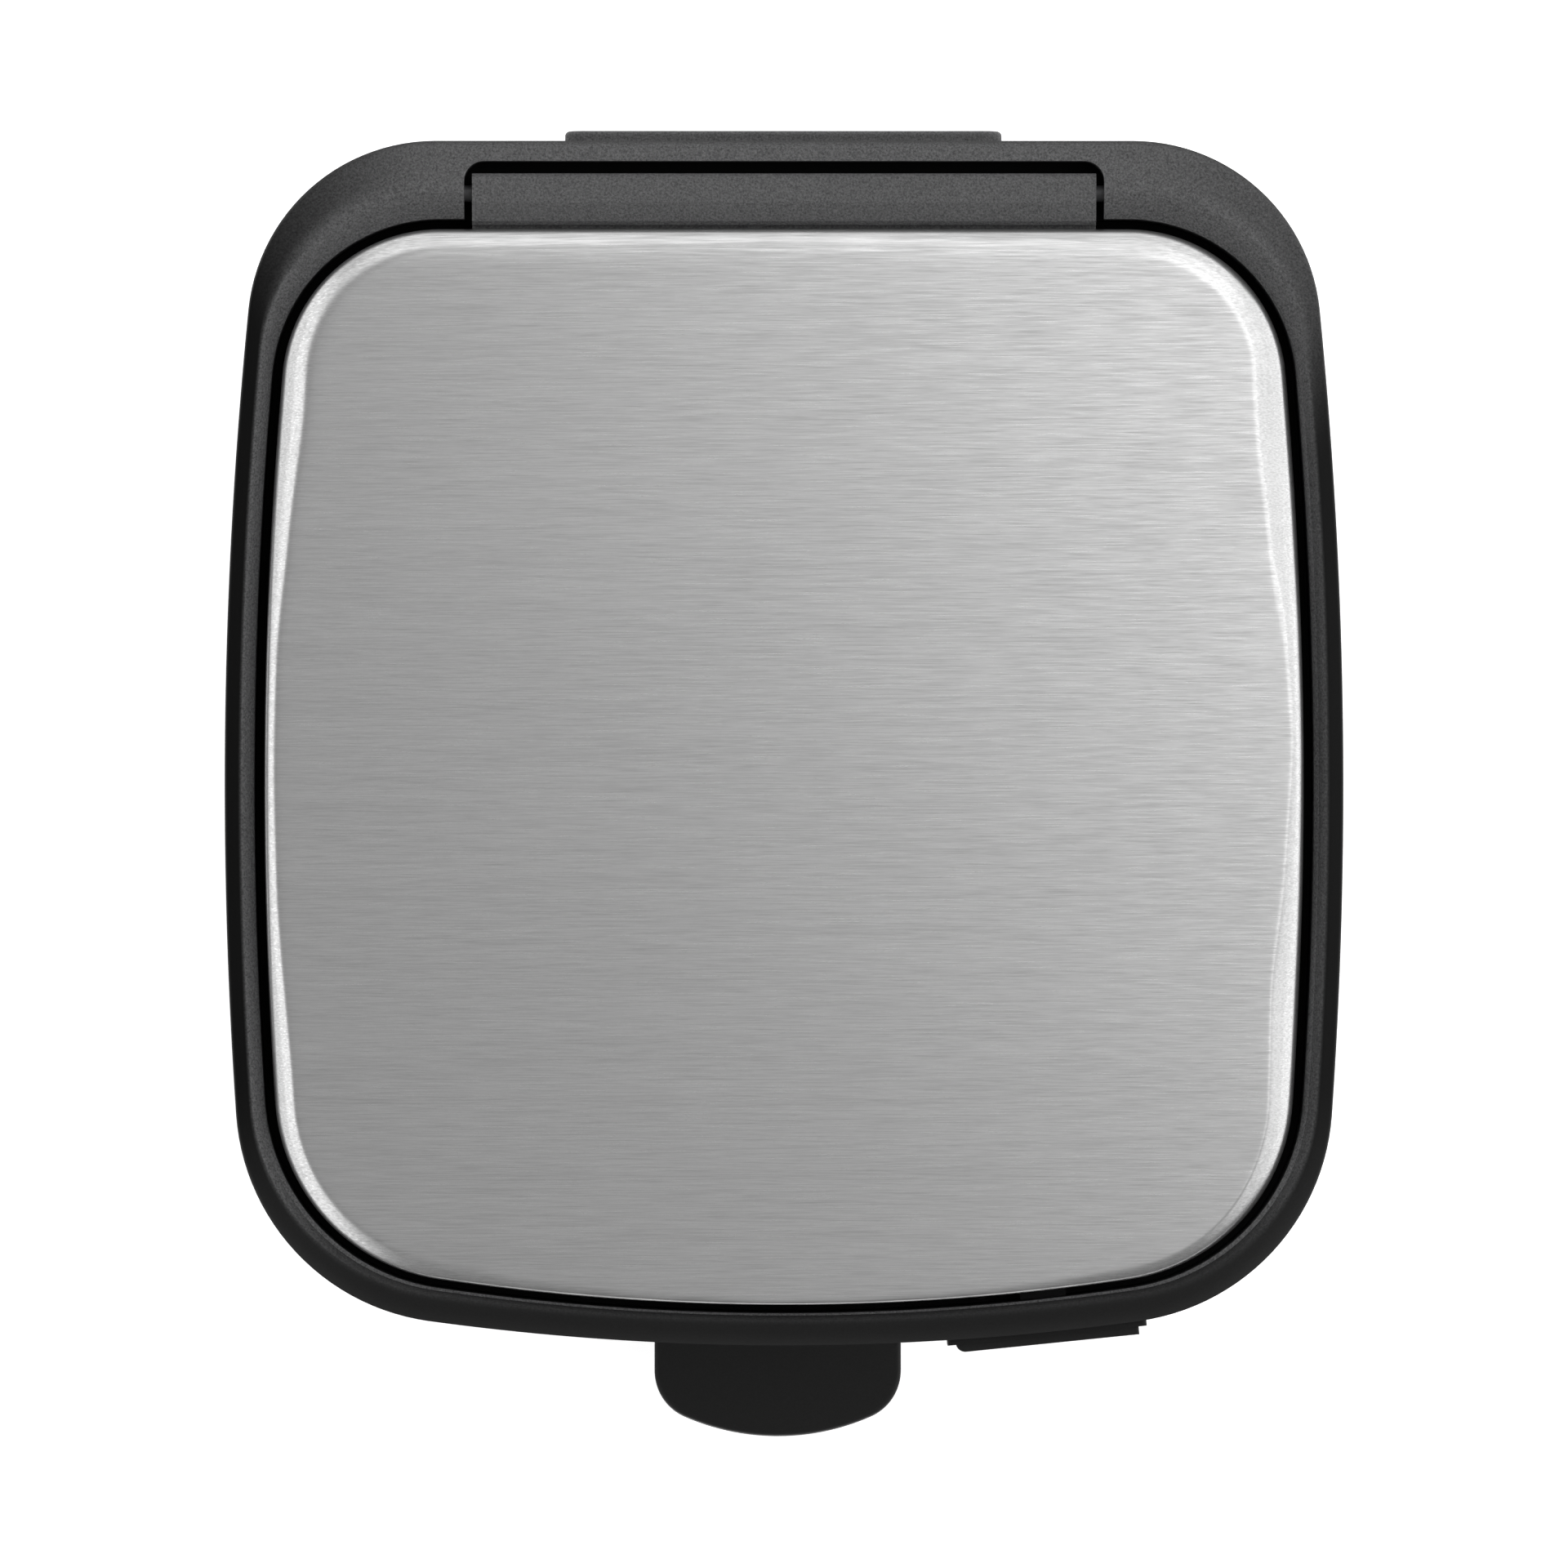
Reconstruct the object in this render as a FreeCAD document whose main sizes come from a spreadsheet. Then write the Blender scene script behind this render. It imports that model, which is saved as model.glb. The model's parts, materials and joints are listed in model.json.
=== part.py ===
import FreeCAD, Part
import math
import os
import Sketcher

# Hand-powered trash compactor: a pedal bin whose lid carries a fold-down press plate.
# Millimetres, +Z up, front (pedal) facing -Y. The origin is on the floor, under the middle
# of the whole object. Sizes are measured from the body's own centre line; placements add
# body_shift, because the pedal stands out further in front than anything does behind.

doc = FreeCAD.newDocument("pedal_compactor")
sheet = doc.addObject("Spreadsheet::Sheet", "Sizes")
X_AXIS = FreeCAD.Vector(1, 0, 0)
Y_AXIS = FreeCAD.Vector(0, 1, 0)
Z_AXIS = FreeCAD.Vector(0, 0, 1)


class Size:
    """A length: its value in mm, and the sheet expression that gives it."""

    def __init__(self, value, text):
        self.value = value
        self.text = text

    def __add__(self, other):
        return Size(self.value + value_of(other), f"({self.text} + {text_of(other)})")

    def __sub__(self, other):
        return Size(self.value - value_of(other), f"({self.text} - {text_of(other)})")

    def __rsub__(self, other):
        return Size(value_of(other) - self.value, f"({text_of(other)} - {self.text})")

    def __neg__(self):
        return Size(-self.value, f"(0 - {self.text})")

    __radd__ = __add__


def value_of(length):
    return length.value if isinstance(length, Size) else float(length)


def text_of(length):
    return length.text if isinstance(length, Size) else f"({float(length)})"


def bind(obj, prop, length):
    """Ties a property of a document object to a length."""
    obj.setExpression(prop, text_of(length))


def size(alias, value, note):
    """One driving dimension: a row of the sheet."""
    row = len(sizes) + 1
    sizes.append(alias)
    sheet.set(f"A{row}", alias)
    sheet.set(f"B{row}", str(value))
    sheet.set(f"C{row}", note)
    sheet.setAlias(f"B{row}", alias)
    return Size(float(value), f"Sizes.{alias}")


sizes = []

# ---------------------------------------------------------------- driving dimensions
body_shift = size("body_shift", 24, "body centre behind the origin")
rim_half = size("rim_half_width", 170, "rim, half its width at the widest")
rim_back = size("rim_back", 183, "rim, back edge")
rim_front = size("rim_front", 183, "rim, front edge")
side_radius = size("side_radius", 1450, "bow of the sides")
side_centre = size("side_centre_y", -12.7, "where the sides are widest")
rim_bow = size("rim_front_bow", 795, "bow of the rim's front")
rim_rear_r = size("rim_rear_corner", 57, "rim, rear corner radius")
rim_front_r = size("rim_front_corner", 68, "rim, front corner radius")
rim_top = size("rim_top", 634, "rim's crest")
rim_low = size("rim_low", 572, "rim's lower edge")
rim_round = size("rim_round", 4.5, "rim, rounding of its outer top edge")
rim_slope = size("rim_slope", 5, "drop of the rim's inner slope")
rim_wall = size("rim_wall", 2.5, "rim, wall thickness")
ledge_top = size("ledge_top", 603, "ledge inside the rim")
ledge_thick = size("ledge_thick", 3, "ledge, thickness")

lid_half = size("lid_half_width", 157.7, "lid, half its width")
lid_back = size("lid_back", 156, "lid, back edge")
lid_front = size("lid_front", 170.4, "lid, front edge")
lid_bow = size("lid_front_bow", 720, "bow of the lid's front")
lid_rear_r = size("lid_rear_corner", 48, "lid, rear corner radius")
lid_front_r = size("lid_front_corner", 58, "lid, front corner radius")
lid_gap = size("lid_gap", 3.3, "gap between lid and rim")
lid_top = size("lid_top", 640, "top of the lid")
lid_round = size("lid_round", 6, "lid, rounding of its top edge")
lid_skin = size("lid_skin", 0.7, "lid's steel skin, thickness")
lid_hem = size("lid_hem", 626, "bottom edge of the lid's steel skin")
lid_base = size("lid_base", 611, "bottom edge of the lid's carrier")
lid_wall = size("lid_wall", 2.5, "lid's carrier, wall thickness")
cover_low = size("cover_low", 619, "underside of the lid's inner cover")
cover_thick = size("cover_thick", 2.5, "lid's inner cover, thickness")

hinge_y = size("hinge_axis_y", 167.1, "lid hinge axis")
hinge_z = size("hinge_axis_z", 626, "lid hinge axis, height")
hinge_pin_r = size("hinge_pin_radius", 2.5, "lid hinge rod")
barrel_r = size("barrel_radius", 6.2, "hinge bridge, rounded back")
bridge_half = size("bridge_half", 94.8, "hinge bridge, half length")
notch_half = size("notch_half", 97.2, "hinge notch in the rim, half length")
notch_back = size("notch_back", 176.8, "hinge notch, back wall")
run_gap = size("running_gap", 0.05, "radial clearance of a running fit")

shell_inset = size("shell_inset", 5, "steel shell, inside the rim's outline")
shell_thick = size("shell_thick", 0.8, "steel shell, thickness")
shell_low = size("shell_low", 62, "steel shell, lower edge")
shell_high = size("shell_high", 608, "steel shell, upper edge")
base_low = size("base_low", 3, "base, underside")
base_wall = size("base_wall", 2.8, "base, wall")
foot_r = size("foot_radius", 13, "rubber foot")
deck_low = size("deck_low", 66, "bucket platform, underside")
deck_thick = size("deck_thick", 3, "bucket platform, thickness")

bucket_half = size("bucket_half", 146, "bucket mouth, half width")
bucket_back = size("bucket_back", 134, "bucket mouth, back")
bucket_front = size("bucket_front", 160, "bucket mouth, front")
bucket_rear_r = size("bucket_rear_corner", 38, "bucket mouth, rear corner radius")
bucket_front_r = size("bucket_front_corner", 49, "bucket mouth, front corner radius")
bucket_taper = size("bucket_taper", 9, "bucket floor smaller than its mouth, each side")
bucket_top = size("bucket_top", 594, "bucket, top edge")
bucket_wall = size("bucket_wall", 2, "bucket, wall")

pedal_y = size("pedal_axis_y", -30, "pedal lever axis")
pedal_z = size("pedal_axis_z", 28, "pedal lever axis, height")
pedal_tilt = size("pedal_tilt", 4, "pedal lever's slope at rest, degrees")
pedal_reach = size("pedal_reach", 205.3, "pedal lever axis to the tread's front edge")
pedal_tail = size("pedal_tail", 190, "pedal lever axis to the lever's rear end")
tread_half = size("tread_half", 42, "pedal tread, half width")
tread_bow = size("tread_bow", 79, "pedal tread, bow of its front edge")
tread_corner = size("tread_corner", 17, "pedal tread, front corner radius")
tread_high = size("tread_high", 7, "tread's top above the lever's centre line")
tread_low = size("tread_low", -3, "tread's underside")
bar_x = size("bar_x", 28.5, "pedal lever's side bars, inner face")
bar_thick = size("bar_thick", 3, "pedal lever's side bars, thickness")
bar_half = size("bar_half", 4.4, "pedal lever's side bars, half height")
rod_y = size("rod_y", 150, "push rod, behind the body centre")
rod_r = size("rod_radius", 3, "push rod")
rod_low = size("rod_low", 21, "push rod's foot, lowest point")
cap_z = size("cap_z", 611.8, "centre of the push rod's cap")
cap_r = size("cap_radius", 5, "push rod's cap")

arm_y = size("arm_axis_y", 120, "compactor arms' axis")
arm_z = size("arm_axis_z", 608, "compactor arms' axis, height")
arm_len = size("arm_length", 170, "compactor arms, pivot to pivot")
arm_half = size("arm_half", 6, "compactor arms, half height")
arm_x = size("arm_x", 68, "compactor arms, inner face")
arm_thick = size("arm_thick", 4, "compactor arms, thickness")
bracket_x = size("bracket_x", 63.5, "compactor brackets, inner face")
bracket_thick = size("bracket_thick", 3, "compactor brackets, thickness")
link_drop = size("link_drop", 16, "links hang this far below the arms")
link_half = size("link_half", 4, "compactor links, half height")
link_x = size("link_x", 58.5, "compactor links, inner face")
link_thick = size("link_thick", 3, "compactor links, thickness")
pivot_r = size("pivot_radius", 3, "pivot pins")
handle_reach = size("handle_reach", 143, "compactor arms' axis to the grab handle")
grab_r = size("grab_radius", 4, "grab handle, steel bar")
plate_half = size("plate_half", 112, "press plate, half width")
plate_back = size("plate_back", 58, "press plate, back edge")
plate_front = size("plate_front", 142, "press plate, front edge")
plate_corner = size("plate_corner", 30, "press plate, corner radius")
plate_low = size("plate_low", 570, "press plate, underside")
plate_high = size("plate_high", 584, "press plate, top of its raised edge")
plate_skin = size("plate_skin", 3, "press plate, thickness")

lock_x = size("lock_x", 80, "lid lock, right of the body centre")
lock_y = size("lock_y", -179, "rim's face at the lid lock")
lock_z = size("lock_z", 616, "lid lock, height")
lock_turn = size("lock_turn", 5.78, "lid lock follows the rim's bow, degrees")

handle_half = size("handle_half", 67.2, "rear carry handle, half width")
handle_back = size("handle_back", 188.5, "rear carry handle, back face")
handle_low = size("handle_low", 526, "rear carry handle, lower edge")
handle_high = size("handle_high", 571.5, "rear carry handle, upper edge")


# ---------------------------------------------------------------- sketches
def pin_point(sketch, name, geometry, point, x, y):
    """Fixes one point of a sketch at x, y from the sketch's origin."""
    for axis, length in (("X", x), ("Y", y)):
        tag = f"{name}_{axis.lower()}"
        rule = Sketcher.Constraint(f"Distance{axis}", -1, 1, geometry, point, value_of(length))
        sketch.renameConstraint(sketch.addConstraint(rule), tag)
        sketch.setExpression(f"Constraints.{tag}", text_of(length))


def set_radius(sketch, name, geometry, length):
    rule = Sketcher.Constraint("Radius", geometry, value_of(length))
    sketch.renameConstraint(sketch.addConstraint(rule), name)
    sketch.setExpression(f"Constraints.{name}", text_of(length))


def add_arc(sketch, centre, radius, start, end):
    circle = Part.Circle(FreeCAD.Vector(*centre, 0), Z_AXIS, radius)
    return sketch.addGeometry(Part.ArcOfCircle(circle, start, end), False)


def outline(half, back, front, rear_r, front_r, bow):
    """The family outline: straight back, bowed sides and front, round corners."""

    def draw(sketch, tag):
        side_r, side_y = side_radius.value, side_centre.value
        w, b, f = value_of(half), value_of(back), value_of(front)
        rr, fr, bow_r = value_of(rear_r), value_of(front_r), value_of(bow)
        side_x = w - side_r
        bow_y = bow_r - f
        rear = (side_x + math.sqrt((side_r - rr) ** 2 - (b - rr - side_y) ** 2), b - rr)
        apart = math.hypot(side_x, bow_y - side_y)
        lean = math.atan2(bow_y - side_y, -side_x)
        reach = side_r - fr
        turn = math.acos((reach**2 + apart**2 - (bow_r - fr) ** 2) / (2 * reach * apart))
        nose = (side_x + reach * math.cos(lean - turn), side_y + reach * math.sin(lean - turn))
        up = math.atan2(rear[1] - side_y, rear[0] - side_x)
        down = math.atan2(nose[1] - side_y, nose[0] - side_x)
        low = math.atan2(nose[1] - bow_y, nose[0])
        pi = math.pi
        right = add_arc(sketch, (side_x, side_y), side_r, down, up)
        rear_right = add_arc(sketch, rear, rr, up, pi / 2)
        ends = (FreeCAD.Vector(rear[0], b, 0), FreeCAD.Vector(-rear[0], b, 0))
        back_line = sketch.addGeometry(Part.LineSegment(*ends), False)
        rear_left = add_arc(sketch, (-rear[0], rear[1]), rr, pi / 2, pi - up)
        left = add_arc(sketch, (-side_x, side_y), side_r, pi - up, pi - down)
        front_left = add_arc(sketch, (-nose[0], nose[1]), fr, pi - down, pi - low)
        front_arc = add_arc(sketch, (0, bow_y), bow_r, -pi - low, low)
        front_right = add_arc(sketch, nose, fr, low, down)
        pieces = [right, rear_right, back_line, rear_left, left, front_left, front_arc, front_right]
        for i, piece in enumerate(pieces):
            after = pieces[(i + 1) % len(pieces)]
            sketch.addConstraint(Sketcher.Constraint("Tangent", piece, 2, after, 1))
        for name, piece, radius in (
            ("right", right, side_radius),
            ("left", left, side_radius),
            ("rear_right", rear_right, rear_r),
            ("rear_left", rear_left, rear_r),
            ("front_right", front_right, front_r),
            ("front_left", front_left, front_r),
            ("bow", front_arc, bow),
        ):
            set_radius(sketch, f"{tag}_{name}", piece, radius)
        pin_point(sketch, f"{tag}_right_mid", right, 3, half - side_radius, side_centre)
        pin_point(sketch, f"{tag}_left_mid", left, 3, side_radius - half, side_centre)
        pin_point(sketch, f"{tag}_bow_mid", front_arc, 3, 0, bow - front)
        sketch.addConstraint(Sketcher.Constraint("Horizontal", back_line))
        rule = Sketcher.Constraint("DistanceY", -1, 1, back_line, 1, b)
        sketch.renameConstraint(sketch.addConstraint(rule), f"{tag}_back")
        sketch.setExpression(f"Constraints.{tag}_back", text_of(back))

    return draw


def polygon(*points):
    """A closed outline through points, each pinned from the sketch's origin."""

    def draw(sketch, tag):
        flat = [FreeCAD.Vector(value_of(x), value_of(y), 0) for x, y in points]
        lines = []
        for i, point in enumerate(flat):
            line = Part.LineSegment(point, flat[(i + 1) % len(flat)])
            lines.append(sketch.addGeometry(line, False))
        for i, line in enumerate(lines):
            after = lines[(i + 1) % len(lines)]
            sketch.addConstraint(Sketcher.Constraint("Coincident", line, 2, after, 1))
            pin_point(sketch, f"{tag}_{i}", line, 1, *points[i])

    return draw


def rectangle(x, y):
    return polygon((x[0], y[0]), (x[1], y[0]), (x[1], y[1]), (x[0], y[1]))


def inset_outline(half, back, front, rear_r, front_r, bow):
    """A family outline that can be drawn inset all round."""

    def inset(step):
        return outline(half - step, back - step, front - step, rear_r - step, front_r - step, bow)

    return inset


rim_outline = inset_outline(rim_half, rim_back, rim_front, rim_rear_r, rim_front_r, rim_bow)
lid_outline = inset_outline(lid_half, lid_back, lid_front, lid_rear_r, lid_front_r, lid_bow)
bucket_outline = inset_outline(
    bucket_half, bucket_back, bucket_front, bucket_rear_r, bucket_front_r, lid_bow
)


# ---------------------------------------------------------------- PartDesign helpers
def new_body(name):
    body = doc.addObject("PartDesign::Body", name)
    bind(body, "Placement.Base.y", body_shift)
    return body


def body_sketch(body, height, shapes):
    """A sketch on the body's own XY plane, lifted to a height."""
    sketch = body.newObject("Sketcher::SketchObject", f"{body.Name}_sketch_{len(body.Group)}")
    plane = [item for item in body.Origin.OriginFeatures if item.Role == "XY_Plane"][0]
    sketch.AttachmentSupport = [(plane, "")]
    sketch.MapMode = "FlatFace"
    bind(sketch, "AttachmentOffset.Base.z", height)
    for i, shape in enumerate(shapes):
        shape(sketch, "abcd"[i])
    return sketch


def pad(body, low, high, *shapes):
    """Adds material between two heights, inside the outlines."""
    sketch = body_sketch(body, low, shapes)
    feature = body.newObject("PartDesign::Pad", f"{body.Name}_pad_{len(body.Group)}")
    feature.Profile = sketch
    bind(feature, "Length", high - low)
    doc.recompute()


def pocket(body, low, high, *shapes):
    """Cuts material away between two heights, inside the outlines."""
    sketch = body_sketch(body, high, shapes)
    feature = body.newObject("PartDesign::Pocket", f"{body.Name}_pocket_{len(body.Group)}")
    feature.Profile = sketch
    bind(feature, "Length", high - low)
    doc.recompute()


def loft(body, kind, low, low_shape, high, high_shape):
    """An AdditiveLoft or SubtractiveLoft between outlines at two heights."""
    first = body_sketch(body, low, [low_shape])
    second = body_sketch(body, high, [high_shape])
    feature = body.newObject(f"PartDesign::{kind}", f"{body.Name}_loft_{len(body.Group)}")
    feature.Profile = first
    feature.Sections = [second]
    feature.Ruled = True
    doc.recompute()


def fillet_level(body, height, radius):
    """Rounds every edge of the body's last feature that lies flat at a height."""
    feature = body.Tip
    names = []
    for i, edge in enumerate(feature.Shape.Edges):
        limits = edge.BoundBox
        if abs(limits.ZMin - value_of(height)) < 0.01 and limits.ZLength < 0.01:
            names.append(f"Edge{i + 1}")
    made = body.newObject("PartDesign::Fillet", f"{body.Name}_fillet_{len(body.Group)}")
    made.Base = (feature, names)
    bind(made, "Radius", radius)
    doc.recompute()


# ---------------------------------------------------------------- Part helpers
def place(obj, x, y, z, rotation=None):
    if rotation:
        obj.Placement = FreeCAD.Placement(FreeCAD.Vector(), rotation)
    bind(obj, "Placement.Base.x", x)
    bind(obj, "Placement.Base.y", y)
    bind(obj, "Placement.Base.z", z)


def box(name, x, y, z, shift=body_shift):
    """A block between two limits along each axis."""
    made = doc.addObject("Part::Box", name)
    bind(made, "Length", x[1] - x[0])
    bind(made, "Width", y[1] - y[0])
    bind(made, "Height", z[1] - z[0])
    place(made, x[0], y[0] + shift, z[0])
    return made


def post(name, radius, x, y, z, shift=body_shift):
    """An upright cylinder between two heights."""
    made = doc.addObject("Part::Cylinder", name)
    bind(made, "Radius", radius)
    bind(made, "Height", z[1] - z[0])
    place(made, x, y + shift, z[0])
    return made


def cross_bar(name, radius, x, y, z, shift=body_shift):
    """A round bar along X between two limits."""
    made = doc.addObject("Part::Cylinder", name)
    bind(made, "Radius", radius)
    bind(made, "Height", x[1] - x[0])
    place(made, x[0], y + shift, z, FreeCAD.Rotation(Z_AXIS, X_AXIS))
    return made


def depth_bar(name, radius, x, y, z, shift=body_shift):
    """A round bar along Y between two limits."""
    made = doc.addObject("Part::Cylinder", name)
    bind(made, "Radius", radius)
    bind(made, "Height", y[1] - y[0])
    place(made, x, y[0] + shift, z, FreeCAD.Rotation(Z_AXIS, Y_AXIS))
    return made


def prism(name, x, shape, shift=body_shift):
    """An outline in Y and Z, drawn out along X between two limits."""
    sketch = doc.addObject("Sketcher::SketchObject", f"{name}_profile")
    shape(sketch, "p")
    place(sketch, x[0], shift, 0, FreeCAD.Rotation(FreeCAD.Vector(1, 1, 1), 120))
    made = doc.addObject("Part::Extrusion", name)
    made.Base = sketch
    made.DirMode = "Normal"
    made.Solid = True
    bind(made, "LengthFwd", x[1] - x[0])
    return made


def fuse(name, *parts):
    made = doc.addObject("Part::MultiFuse", name)
    made.Shapes = list(parts)
    made.Refine = True
    return made


def cut(name, base, *tools):
    made = doc.addObject("Part::Cut", name)
    made.Base = base
    made.Tool = tools[0] if len(tools) == 1 else fuse(f"{name}_tools", *tools)
    return made


def common(name, *parts):
    made = doc.addObject("Part::MultiCommon", name)
    made.Shapes = list(parts)
    return made


def group(name, *parts):
    """Separate solids that share one node."""
    made = doc.addObject("Part::Compound", name)
    made.Links = list(parts)
    return made


def soften(name, base, radius, choose):
    """Rounds the chosen edges of a shape."""
    doc.recompute()
    made = doc.addObject("Part::Fillet", name)
    made.Base = base
    picked = [i + 1 for i, edge in enumerate(base.Shape.Edges) if choose(edge)]
    made.Edges = [(i, value_of(radius), value_of(radius)) for i in picked]
    return made


def runs_along(axis):
    """Chooses the straight edges along an axis."""

    def choose(edge):
        start, end = edge.firstVertex().Point, edge.lastVertex().Point
        straight = abs((end - start).Length - edge.Length) < 1e-6
        return straight and abs((end - start).dot(axis)) > edge.Length * 0.9999

    return choose


def at_height(height):
    """Chooses the edges that lie flat at a height."""

    def choose(edge):
        limits = edge.BoundBox
        return abs(limits.ZMin - value_of(height)) < 0.01 and limits.ZLength < 0.01

    return choose


def span(side, inner, thick):
    """The x limits of a plate on one side, from its inner face outwards."""
    return (inner, inner + thick) if side > 0 else (-(inner + thick), -inner)


SIDES = ((1, "right"), (-1, "left"))
CORNERS = (("rear_right", 1, 1), ("rear_left", -1, 1), ("front_left", -1, -1), ("front_right", 1, -1))
finished = []


def finish(name, obj):
    """Notes a finished sub-part under the name its file will have."""
    obj.Label = name
    finished.append(obj)
    return obj


# ---------------------------------------------------------------- base, feet, platform
moulding = new_body("base_moulding")
pad(moulding, base_low, shell_low, rim_outline(4))
fillet_level(moulding, base_low, 5)
pocket(moulding, base_low + base_wall, shell_low, rim_outline(base_wall + 5))
pad(moulding, shell_low - 8, shell_low + 12, rim_outline(6.2), rim_outline(8.2))
mouth = box(
    "base_mouth_block",
    (-(tread_half + 4), tread_half + 4),
    (-(rim_front + 1), 24 - rim_front),
    (base_low + 5, shell_low - 9),
)
mouth = soften("base_mouth", mouth, 8, runs_along(Y_AXIS))
lugs = []
for side, word in SIDES:
    x = span(side, bar_x + bar_thick + 2, 7)
    lugs.append(box(f"base_lug_{word}", x, (pedal_y - 8, pedal_y + 8), (base_low + 1, pedal_z)))
    lugs.append(cross_bar(f"base_lug_top_{word}", 8, x, pedal_y, pedal_z))
pillars = []
bores = [cross_bar("base_pin_bore", pivot_r, (-(bar_x + 20), bar_x + 20), pedal_y, pedal_z)]
deck_holes = [post("deck_rod_hole", 6, 0, rod_y, (deck_low - 1, deck_low + 5))]
deck_screws = []
for word, right, back in CORNERS:
    x, y = 120 * right, 110 * back
    pillars.append(post(f"base_pillar_{word}", 6, x, y, (base_low + 1, deck_low)))
    bores.append(post(f"base_pillar_bore_{word}", 1.6, x, y, (deck_low - 14, deck_low + 1)))
    deck_holes.append(post(f"deck_hole_{word}", 2.1, x, y, (deck_low - 1, deck_low + 5)))
    deck_holes.append(post(f"deck_sink_{word}", 3.8, x, y, (deck_low + 1.3, deck_low + 5)))
    shank = post(f"deck_screw_shank_{word}", 1.6, x, y, (deck_low - 12, deck_low + 1.4))
    head = post(f"deck_screw_head_{word}", 3.6, x, y, (deck_low + 1.4, deck_low + 2.9))
    deck_screws.append(fuse(f"deck_screw_{word}", shank, head))
opened = cut("base_opened", moulding, mouth)
finish("base", cut("base_bored", fuse("base_whole", opened, *lugs, *pillars), *bores))

feet = []
for word, right, back in CORNERS:
    pad_of_rubber = post(f"foot_block_{word}", foot_r, 112 * right, 118 * back, (0, base_low))
    feet.append(soften(f"foot_{word}", pad_of_rubber, 1, at_height(0)))
finish("rubber_feet", group("feet_group", *feet))

board = new_body("deck_board")
pad(board, deck_low, deck_low + deck_thick, rim_outline(base_wall + 7))
finish("bucket_platform", cut("deck_drilled", board, *deck_holes))
finish("platform_screws", group("deck_screw_group", *deck_screws))

# ---------------------------------------------------------------- steel shell
wrap = new_body("shell_wrap")
inner_face = shell_inset + shell_thick
pad(wrap, shell_low, shell_high, rim_outline(shell_inset), rim_outline(inner_face))
window = box(
    "shell_window",
    (8 - handle_half, handle_half - 8),
    (rim_back - 20, rim_back + 5),
    (handle_low + 4.5, handle_high - 4),
)
finish("outer_shell", cut("shell_cut", wrap, window))

ring = new_body("spacer_ring")
pad(ring, rim_low + 6, rim_low + 18, rim_outline(rim_wall), rim_outline(shell_inset))
blocks = []
for word, right, back in CORNERS:
    x = (100, 124) if right > 0 else (-124, -100)
    y = (100, 200) if back > 0 else (-200, -100)
    blocks.append(box(f"spacer_end_{word}", x, y, (rim_low, rim_low + 30)))
for side, word in SIDES:
    x = (150, 180) if side > 0 else (-180, -150)
    blocks.append(box(f"spacer_side_{word}", x, (-12, 12), (rim_low, rim_low + 30)))
finish("rim_spacers", common("spacer_arcs", ring, fuse("spacer_blocks", *blocks)))

# ---------------------------------------------------------------- rim
rim = new_body("rim_moulding")
pad(rim, rim_low, rim_top, rim_outline(0))
fillet_level(rim, rim_top, rim_round)
pocket(rim, ledge_top, rim_top, lid_outline(-lid_gap))
slope_foot = outline(
    lid_half + lid_gap - 0.05,
    lid_back + lid_gap - 0.05,
    lid_front + lid_gap - 0.05,
    lid_rear_r + lid_gap,
    lid_front_r + lid_gap,
    lid_bow,
)
slope_crest = outline(
    lid_half + lid_gap + 4,
    lid_back + lid_gap + 7.5,
    lid_front + lid_gap + 1.2,
    lid_rear_r + lid_gap + 4,
    lid_front_r + lid_gap + 3,
    lid_bow,
)
loft(rim, "SubtractiveLoft", rim_top - rim_slope, slope_foot, rim_top, slope_crest)
pocket(rim, rim_low, ledge_top - ledge_thick, rim_outline(rim_wall))
ledge_mouth = outline(
    lid_half - 6, lid_back - 16.4, lid_front - 5.5, lid_rear_r - 6, lid_front_r - 6, lid_bow
)
pocket(rim, ledge_top - ledge_thick - 1, ledge_top, ledge_mouth)

hollow = new_body("rim_hollow")
wall_outer = rim_outline(rim_wall)
wall_inner = lid_outline(-(lid_gap + rim_wall))
pad(hollow, ledge_top - ledge_thick - 1, rim_top - 7.5, wall_outer, wall_inner)
hinge_top = (lid_back + lid_gap + 2.2, rim_back - 2.6)
additions = [
    box("rim_notch_walls", (-(notch_half + 2.5), notch_half + 2.5),
        (hinge_top[0], notch_back + 2.5), (hinge_z - 14, rim_top - 4)),
]
for side, word in SIDES:
    x = span(side, notch_half - 0.2, 14)
    additions.append(box(f"rim_cheek_{word}", x, hinge_top, (hinge_z - 9, rim_top - 4)))


def notch_corner(edge):
    """The two upright edges at the back of the hinge notch."""
    return runs_along(Z_AXIS)(edge) and edge.CenterOfMass.y > value_of(notch_back + body_shift) - 1


notch = box(
    "rim_notch_block", (-notch_half, notch_half), (lid_back - 2, notch_back), (hinge_z - 12, rim_top + 1)
)
notch = soften("rim_notch", notch, 6, notch_corner)
bore_x = (-(notch_half + 12.5), notch_half + 12.5)
hinge_bore = cross_bar("rim_hinge_bore", hinge_pin_r + run_gap, bore_x, hinge_y, hinge_z)
rod_hole = post("rim_rod_hole", 4.5, 0, rod_y, (ledge_top - 6, ledge_top + 2))


def at_lock(name, *parts):
    """Moves pieces drawn about the lock's centre (x sideways, y inwards) to the rim's front."""
    moved = fuse(name, *parts) if len(parts) > 1 else group(name, *parts)
    place(moved, lock_x, lock_y + body_shift, lock_z, FreeCAD.Rotation(Z_AXIS, lock_turn.value))
    return moved


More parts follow.
